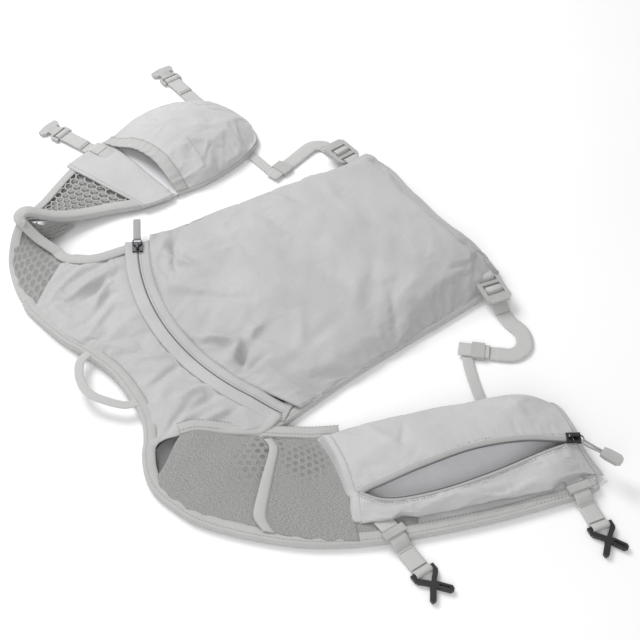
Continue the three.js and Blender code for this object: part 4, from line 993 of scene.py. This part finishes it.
# ---------------------------------------------------------------- neck
wrap("yoke_left_band", spline([(-126, 86, 9.0), (-130, 107, 7.5), (-121, 124, 8.5), (-101, 150, 10)], 60),
    -1, 8, BINDING, top=0.9)
loop_path = spline([(30, 172, 8.2), (30, 184, 8.8), (22, 198, 11.5), (4, 207, 13.0), (-14, 208, 13.0),
    (-30, 199, 12.0), (-41, 188, 10.5), (-43, 176, 8.6)], 90)
band("hang_loop_webbing", loop_path, 8, 1.1, WEB, replaces=("hang_loop",))


# ---------------------------------------------------------------- webbing in local frames
def place(points, origin, turn):
    """Local (x, y, z) points turned about Z and moved to origin."""
    c, s = math.cos(math.radians(turn)), math.sin(math.radians(turn))
    p = np.array(points, float)
    return np.stack([origin[0] + p[:, 0] * c - p[:, 1] * s, origin[1] + p[:, 0] * s + p[:, 1] * c,
        p[:, 2] + (origin[2] if len(origin) > 2 else 0)], 1)


def flat_path(points, n, origin, turn):
    """Smooth side-on (x, z) line as a path in the frame of the CAD, with its level side direction."""
    line = spline([(x, 0, z) for x, z in points], n)
    side = (-math.sin(math.radians(turn)), math.cos(math.radians(turn)), 0)
    return place(line, origin, turn), side


SIDES = {"left": dict(origin=(-101, -157, 11), turn=167,
    run=[(-138.8, -148.2), (-150, -146.5), (-166, -146.9), (-180, -138), (-182, -124.3), (-172, -111.6),
    (-166, -105.6), (-156, -95)], tail=[(-168, -107.7), (-156, -95), (-149, -87.6)],
    ribbon=[(-157, -91), (-172, -82), (-196, -71), (-224, -60)]),
    "right": dict(origin=(101, -152, 11), turn=3, run=[(141.3, -150), (147, -148), (152, -138.4),
    (149, -123.8), (145, -109.7), (142.4, -99.6), (139.5, -88)],
    tail=[(142.9, -101.6), (139.5, -88), (136.5, -77)], ribbon=[(141, -84), (152, -82), (166, -81),
    (181, -79.5)])}
for side_name, s in SIDES.items():
    path, sd = flat_path([(38.5, -9.4), (31, -5.0), (25, -2.4), (21.2, -1.6), (20.4, 1.5), (20.0, 3.6),
        (17.5, 4.2), (15.0, 3.6), (14.6, 1.5), (13.8, -1.9), (19, -3.6), (26, -4.4)], 90, s["origin"],
        s["turn"])
    band(f"{side_name}_buckle_loop", path, WEB_WIDTH, 1.2, WEB, body=f"{side_name}_side_buckle", side=sd,
        replaces=(f"{side_name}_buckle_webbing",))
    path, sd = flat_path([(-12, 4.2), (-6, 4.0), (1, 4.4), (3.6, 3.4), (4.3, 1.2), (3.4, -1.2), (0.5, -1.6),
        (-3, -0.4), (-10, 1.6)], 60, s["origin"], s["turn"])
    band(f"{side_name}_buckle_anchor", path, WEB_WIDTH, 1.1, WEB, side=sd,
        replaces=(f"{side_name}_buckle_tab",))
    run = spline([(x, y, 1.7) for x, y in s["run"]], 120)
    run[:, 2] += 0.5 * np.abs(np.sin(np.linspace(0, 5, 120)))
    run[-30:, 2] = 1.7
    band(f"{side_name}_side_strap", run, WEB_WIDTH, 1.2, WEB, replaces=(f"{side_name}_side_webbing",))
    tail = spline([(x, y, 3.2) for x, y in s["tail"]], 40)
    band(f"{side_name}_side_end", tail, WEB_WIDTH, 1.2, WEB, replaces=(f"{side_name}_side_tail",))
    rib = spline([(x, y, 1.6) for x, y in s["ribbon"]], 60)
    band(f"{side_name}_strap_end_ribbon", rib, 10, 1.0, WEB, replaces=(f"{side_name}_strap_ribbon",))

STRAPS = {"left_upper": ((-268.5, 77.5), (-310, 78), True, True),
    "left_lower": ((-320, -71), (-358, -62.5), True, True),
    "right_upper": ((264, 45), (316, 64), True, False), "right_lower": (RIGHT_LOWER_ROOT, (330, -76), False,
    False)}
for name, (p0, p1, raised, clipped) in STRAPS.items():
    turn = math.degrees(math.atan2(p1[1] - p0[1], p1[0] - p0[0]))
    bar = math.hypot(p1[0] - p0[0], p1[1] - p0[1])
    first = [(-1.2, 8.5), (4, 8.6), (10, 8.4), (14, 5.5), (18, 2.2)] if raised else [(-1.2, 1.7), (6, 1.8)]
    # sewn end of the webbing, fixed to the vest, that the strap folds up from
    sewn = [(-14, 6.8), (-8, 7.7), (-1.5, 8.3)] if raised else [(-16, 1.7), (-8, 1.7), (-1.5, 1.7)]
    path, sd = flat_path(sewn, 20, (p0[0], p0[1], 0), turn)
    band(f"{name}_sewn_end", path, WEB_WIDTH, 1.1, WEB, side=sd)
    over = [(bar - 7, 2.0), (bar - 3.6, 2.8), (bar - 2.4, 4.2), (bar, 5.0), (bar + 2.1, 4.3),
        (bar + 2.6, 2.1), (bar + 1.4, 0.3), (bar - 2.5, 0.55), (bar - 9, 0.7)]
    path, sd = flat_path(first + over, 110, (p0[0], p0[1], 0), turn)
    band(f"{name}_web", path, WEB_WIDTH, 1.15, WEB, body=f"{name}_strap", side=sd,
        replaces=(f"{name}_webbing",) + (() if clipped else (f"{name}_fold",)))
    a = 0.42 * bar
    path, sd = flat_path([(a, 2.9), (a + 4, 3.3), (bar - 8, 3.4), (bar - 5, 3.7)], 30, (p0[0], p0[1], 0),
        turn)
    band(f"{name}_web_fold", path, WEB_WIDTH, 1.1, WEB, body=f"{name}_strap", side=sd)
    seam_line = place([(a + 2.0, y, 4.1) for y in np.linspace(-6, 6, 12)], (p0[0], p0[1], 0), turn)
    stitches(f"{name}_bartack", [seam_line], body=f"{name}_strap", pitch=1.3, length=1.0, radius=0.3)

# back pull: folded tape through the ring, with a moulded end
t = -29.0
sl = (ZIP_C[0] + ZIP_R * math.cos(math.radians(61)), ZIP_C[1] + ZIP_R * math.sin(math.radians(61)), 12.3)
path, sd = flat_path([(12, 3.2), (9.6, 3.3), (8.3, 3.9), (8.6, 4.9), (10.5, 5.2), (18, 4.9), (27, 4.4),
    (35.3, 3.9)], 60, sl, t)
band("back_pull_tape", path, 7, 1.2, CORD, body="back_pull", side=sd, replaces=("back_zip_pull",),
    dome=0.3)
# phone pull cord: a loop from the ring to the moulded end
a0 = math.radians(-33.2)
ps = (PHONE_C[0] + PHONE_R * math.cos(a0), PHONE_C[1] + PHONE_R * math.sin(a0), 20.3)
pt = -33.2 - 90 - 38
cord = [(9.2, 1.4, 4.2), (8.2, 0.2, 4.9), (9.0, -1.4, 4.3), (13, -1.6, 3.6), (19, -1.3, 3.6),
    (26, -1.0, 4.0)]
cord2 = [(9.2, 1.4, 4.2), (13, 1.6, 3.6), (19, 1.3, 3.6), (26, 1.0, 4.0)]
tube("phone_pull_cord_a", place(spline(cord, 50), ps, pt), 0.95, CORD, body="phone_pull",
    replaces=("phone_pull_cord",))
tube("phone_pull_cord_b", place(spline(cord2, 40), ps, pt), 0.95, CORD, body="phone_pull")

# ---------------------------------------------------------------- kept CAD hardware
KEEP = {"left_buckle": (PLASTIC, 0.7), "right_buckle": (PLASTIC, 0.7), "left_upper_clip": (PLASTIC, 0.5),
    "left_lower_clip": (PLASTIC, 0.5), "left_upper_hook": (BLACK, 0.7), "left_lower_hook": (BLACK, 0.7),
    "right_upper_hook": (PLASTIC, 0.7), "right_lower_hook": (PLASTIC, 0.7), "back_zip_slider": (GUN, 0.35),
    "back_zip_ring": (GUN, 0), "phone_zip_slider": (GUN, 0.35), "phone_zip_ring": (GUN, 0),
    "phone_pull_grip": (PLASTIC, 0.9), "left_keeper": (TAPE, 0.3), "right_keeper": (TAPE, 0.3)}
for name, (material, bevel) in KEEP.items():
    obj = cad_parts[name]
    obj.data.materials.clear()
    obj.data.materials.append(material)
    if bevel:
        mod = obj.modifiers.new("soft_edges", "BEVEL")
        mod.width = bevel * MM
        mod.segments = 3
        mod.limit_method = "ANGLE"
        mod.angle_limit = math.radians(35)
        mod.harden_normals = False
        for poly in obj.data.polygons:
            poly.use_smooth = False

# ---------------------------------------------------------------- stage
floor_mesh = bpy.data.meshes.new("floor")
floor_mesh.from_pydata([(-6, -6, FLOOR_Z), (6, -6, FLOOR_Z), (6, 6, FLOOR_Z), (-6, 6, FLOOR_Z)], [],
    [(0, 1, 2, 3)])
floor = bpy.data.objects.new("floor", floor_mesh)
bpy.context.scene.collection.objects.link(floor)
paper = Nodes("white_paper")
paper.put(paper.bsdf.inputs["Base Color"], paper.mix(paper.ramp(paper.noise(paper.obj, 3.0), 0.3, 0.7),
    (0.93, 0.93, 0.93), (0.95, 0.95, 0.95)))
paper.bsdf.inputs["Roughness"].default_value = 0.9
floor_mesh.materials.append(paper.mat)

world = bpy.data.worlds.new("studio")
bpy.context.scene.world = world
world.use_nodes = True
world.node_tree.nodes["Background"].inputs[0].default_value = (1, 1, 1, 1)
world.node_tree.nodes["Background"].inputs[1].default_value = 0.48


def softbox(name, location, target, size, power):
    data = bpy.data.lights.new(name, "AREA")
    data.shape = "RECTANGLE"
    data.size, data.size_y = size
    data.energy = power
    obj = bpy.data.objects.new(name, data)
    obj.location = location
    obj.rotation_euler = (Vector(target) - Vector(location)).to_track_quat("-Z", "Y").to_euler()
    bpy.context.scene.collection.objects.link(obj)
    return obj


softbox("key_light", (1.1, 0.15, 1.25), (0, 0, 0), (0.9, 0.9), 21)
softbox("fill_light", (-1.15, 0.95, 1.05), (0, 0, 0), (1.2, 1.2), 11.5)

camera_data = bpy.data.cameras.new("camera")
camera_data.lens = 73.125
camera_data.sensor_width = 36.0
camera = bpy.data.objects.new("camera", camera_data)
target = Vector((-0.0483, -0.0081, 0.0))
az, el, dist = math.radians(235), math.radians(48), 1.1818
camera.location = target + dist * Vector((math.sin(az) * math.cos(el), -math.cos(az) * math.cos(el),
    math.sin(el)))
camera.rotation_euler = (target - camera.location).to_track_quat("-Z", "Y").to_euler()
camera_data.clip_start = 0.01
bpy.context.scene.collection.objects.link(camera)
bpy.context.scene.camera = camera
bpy.context.scene.view_settings.view_transform = "Standard"
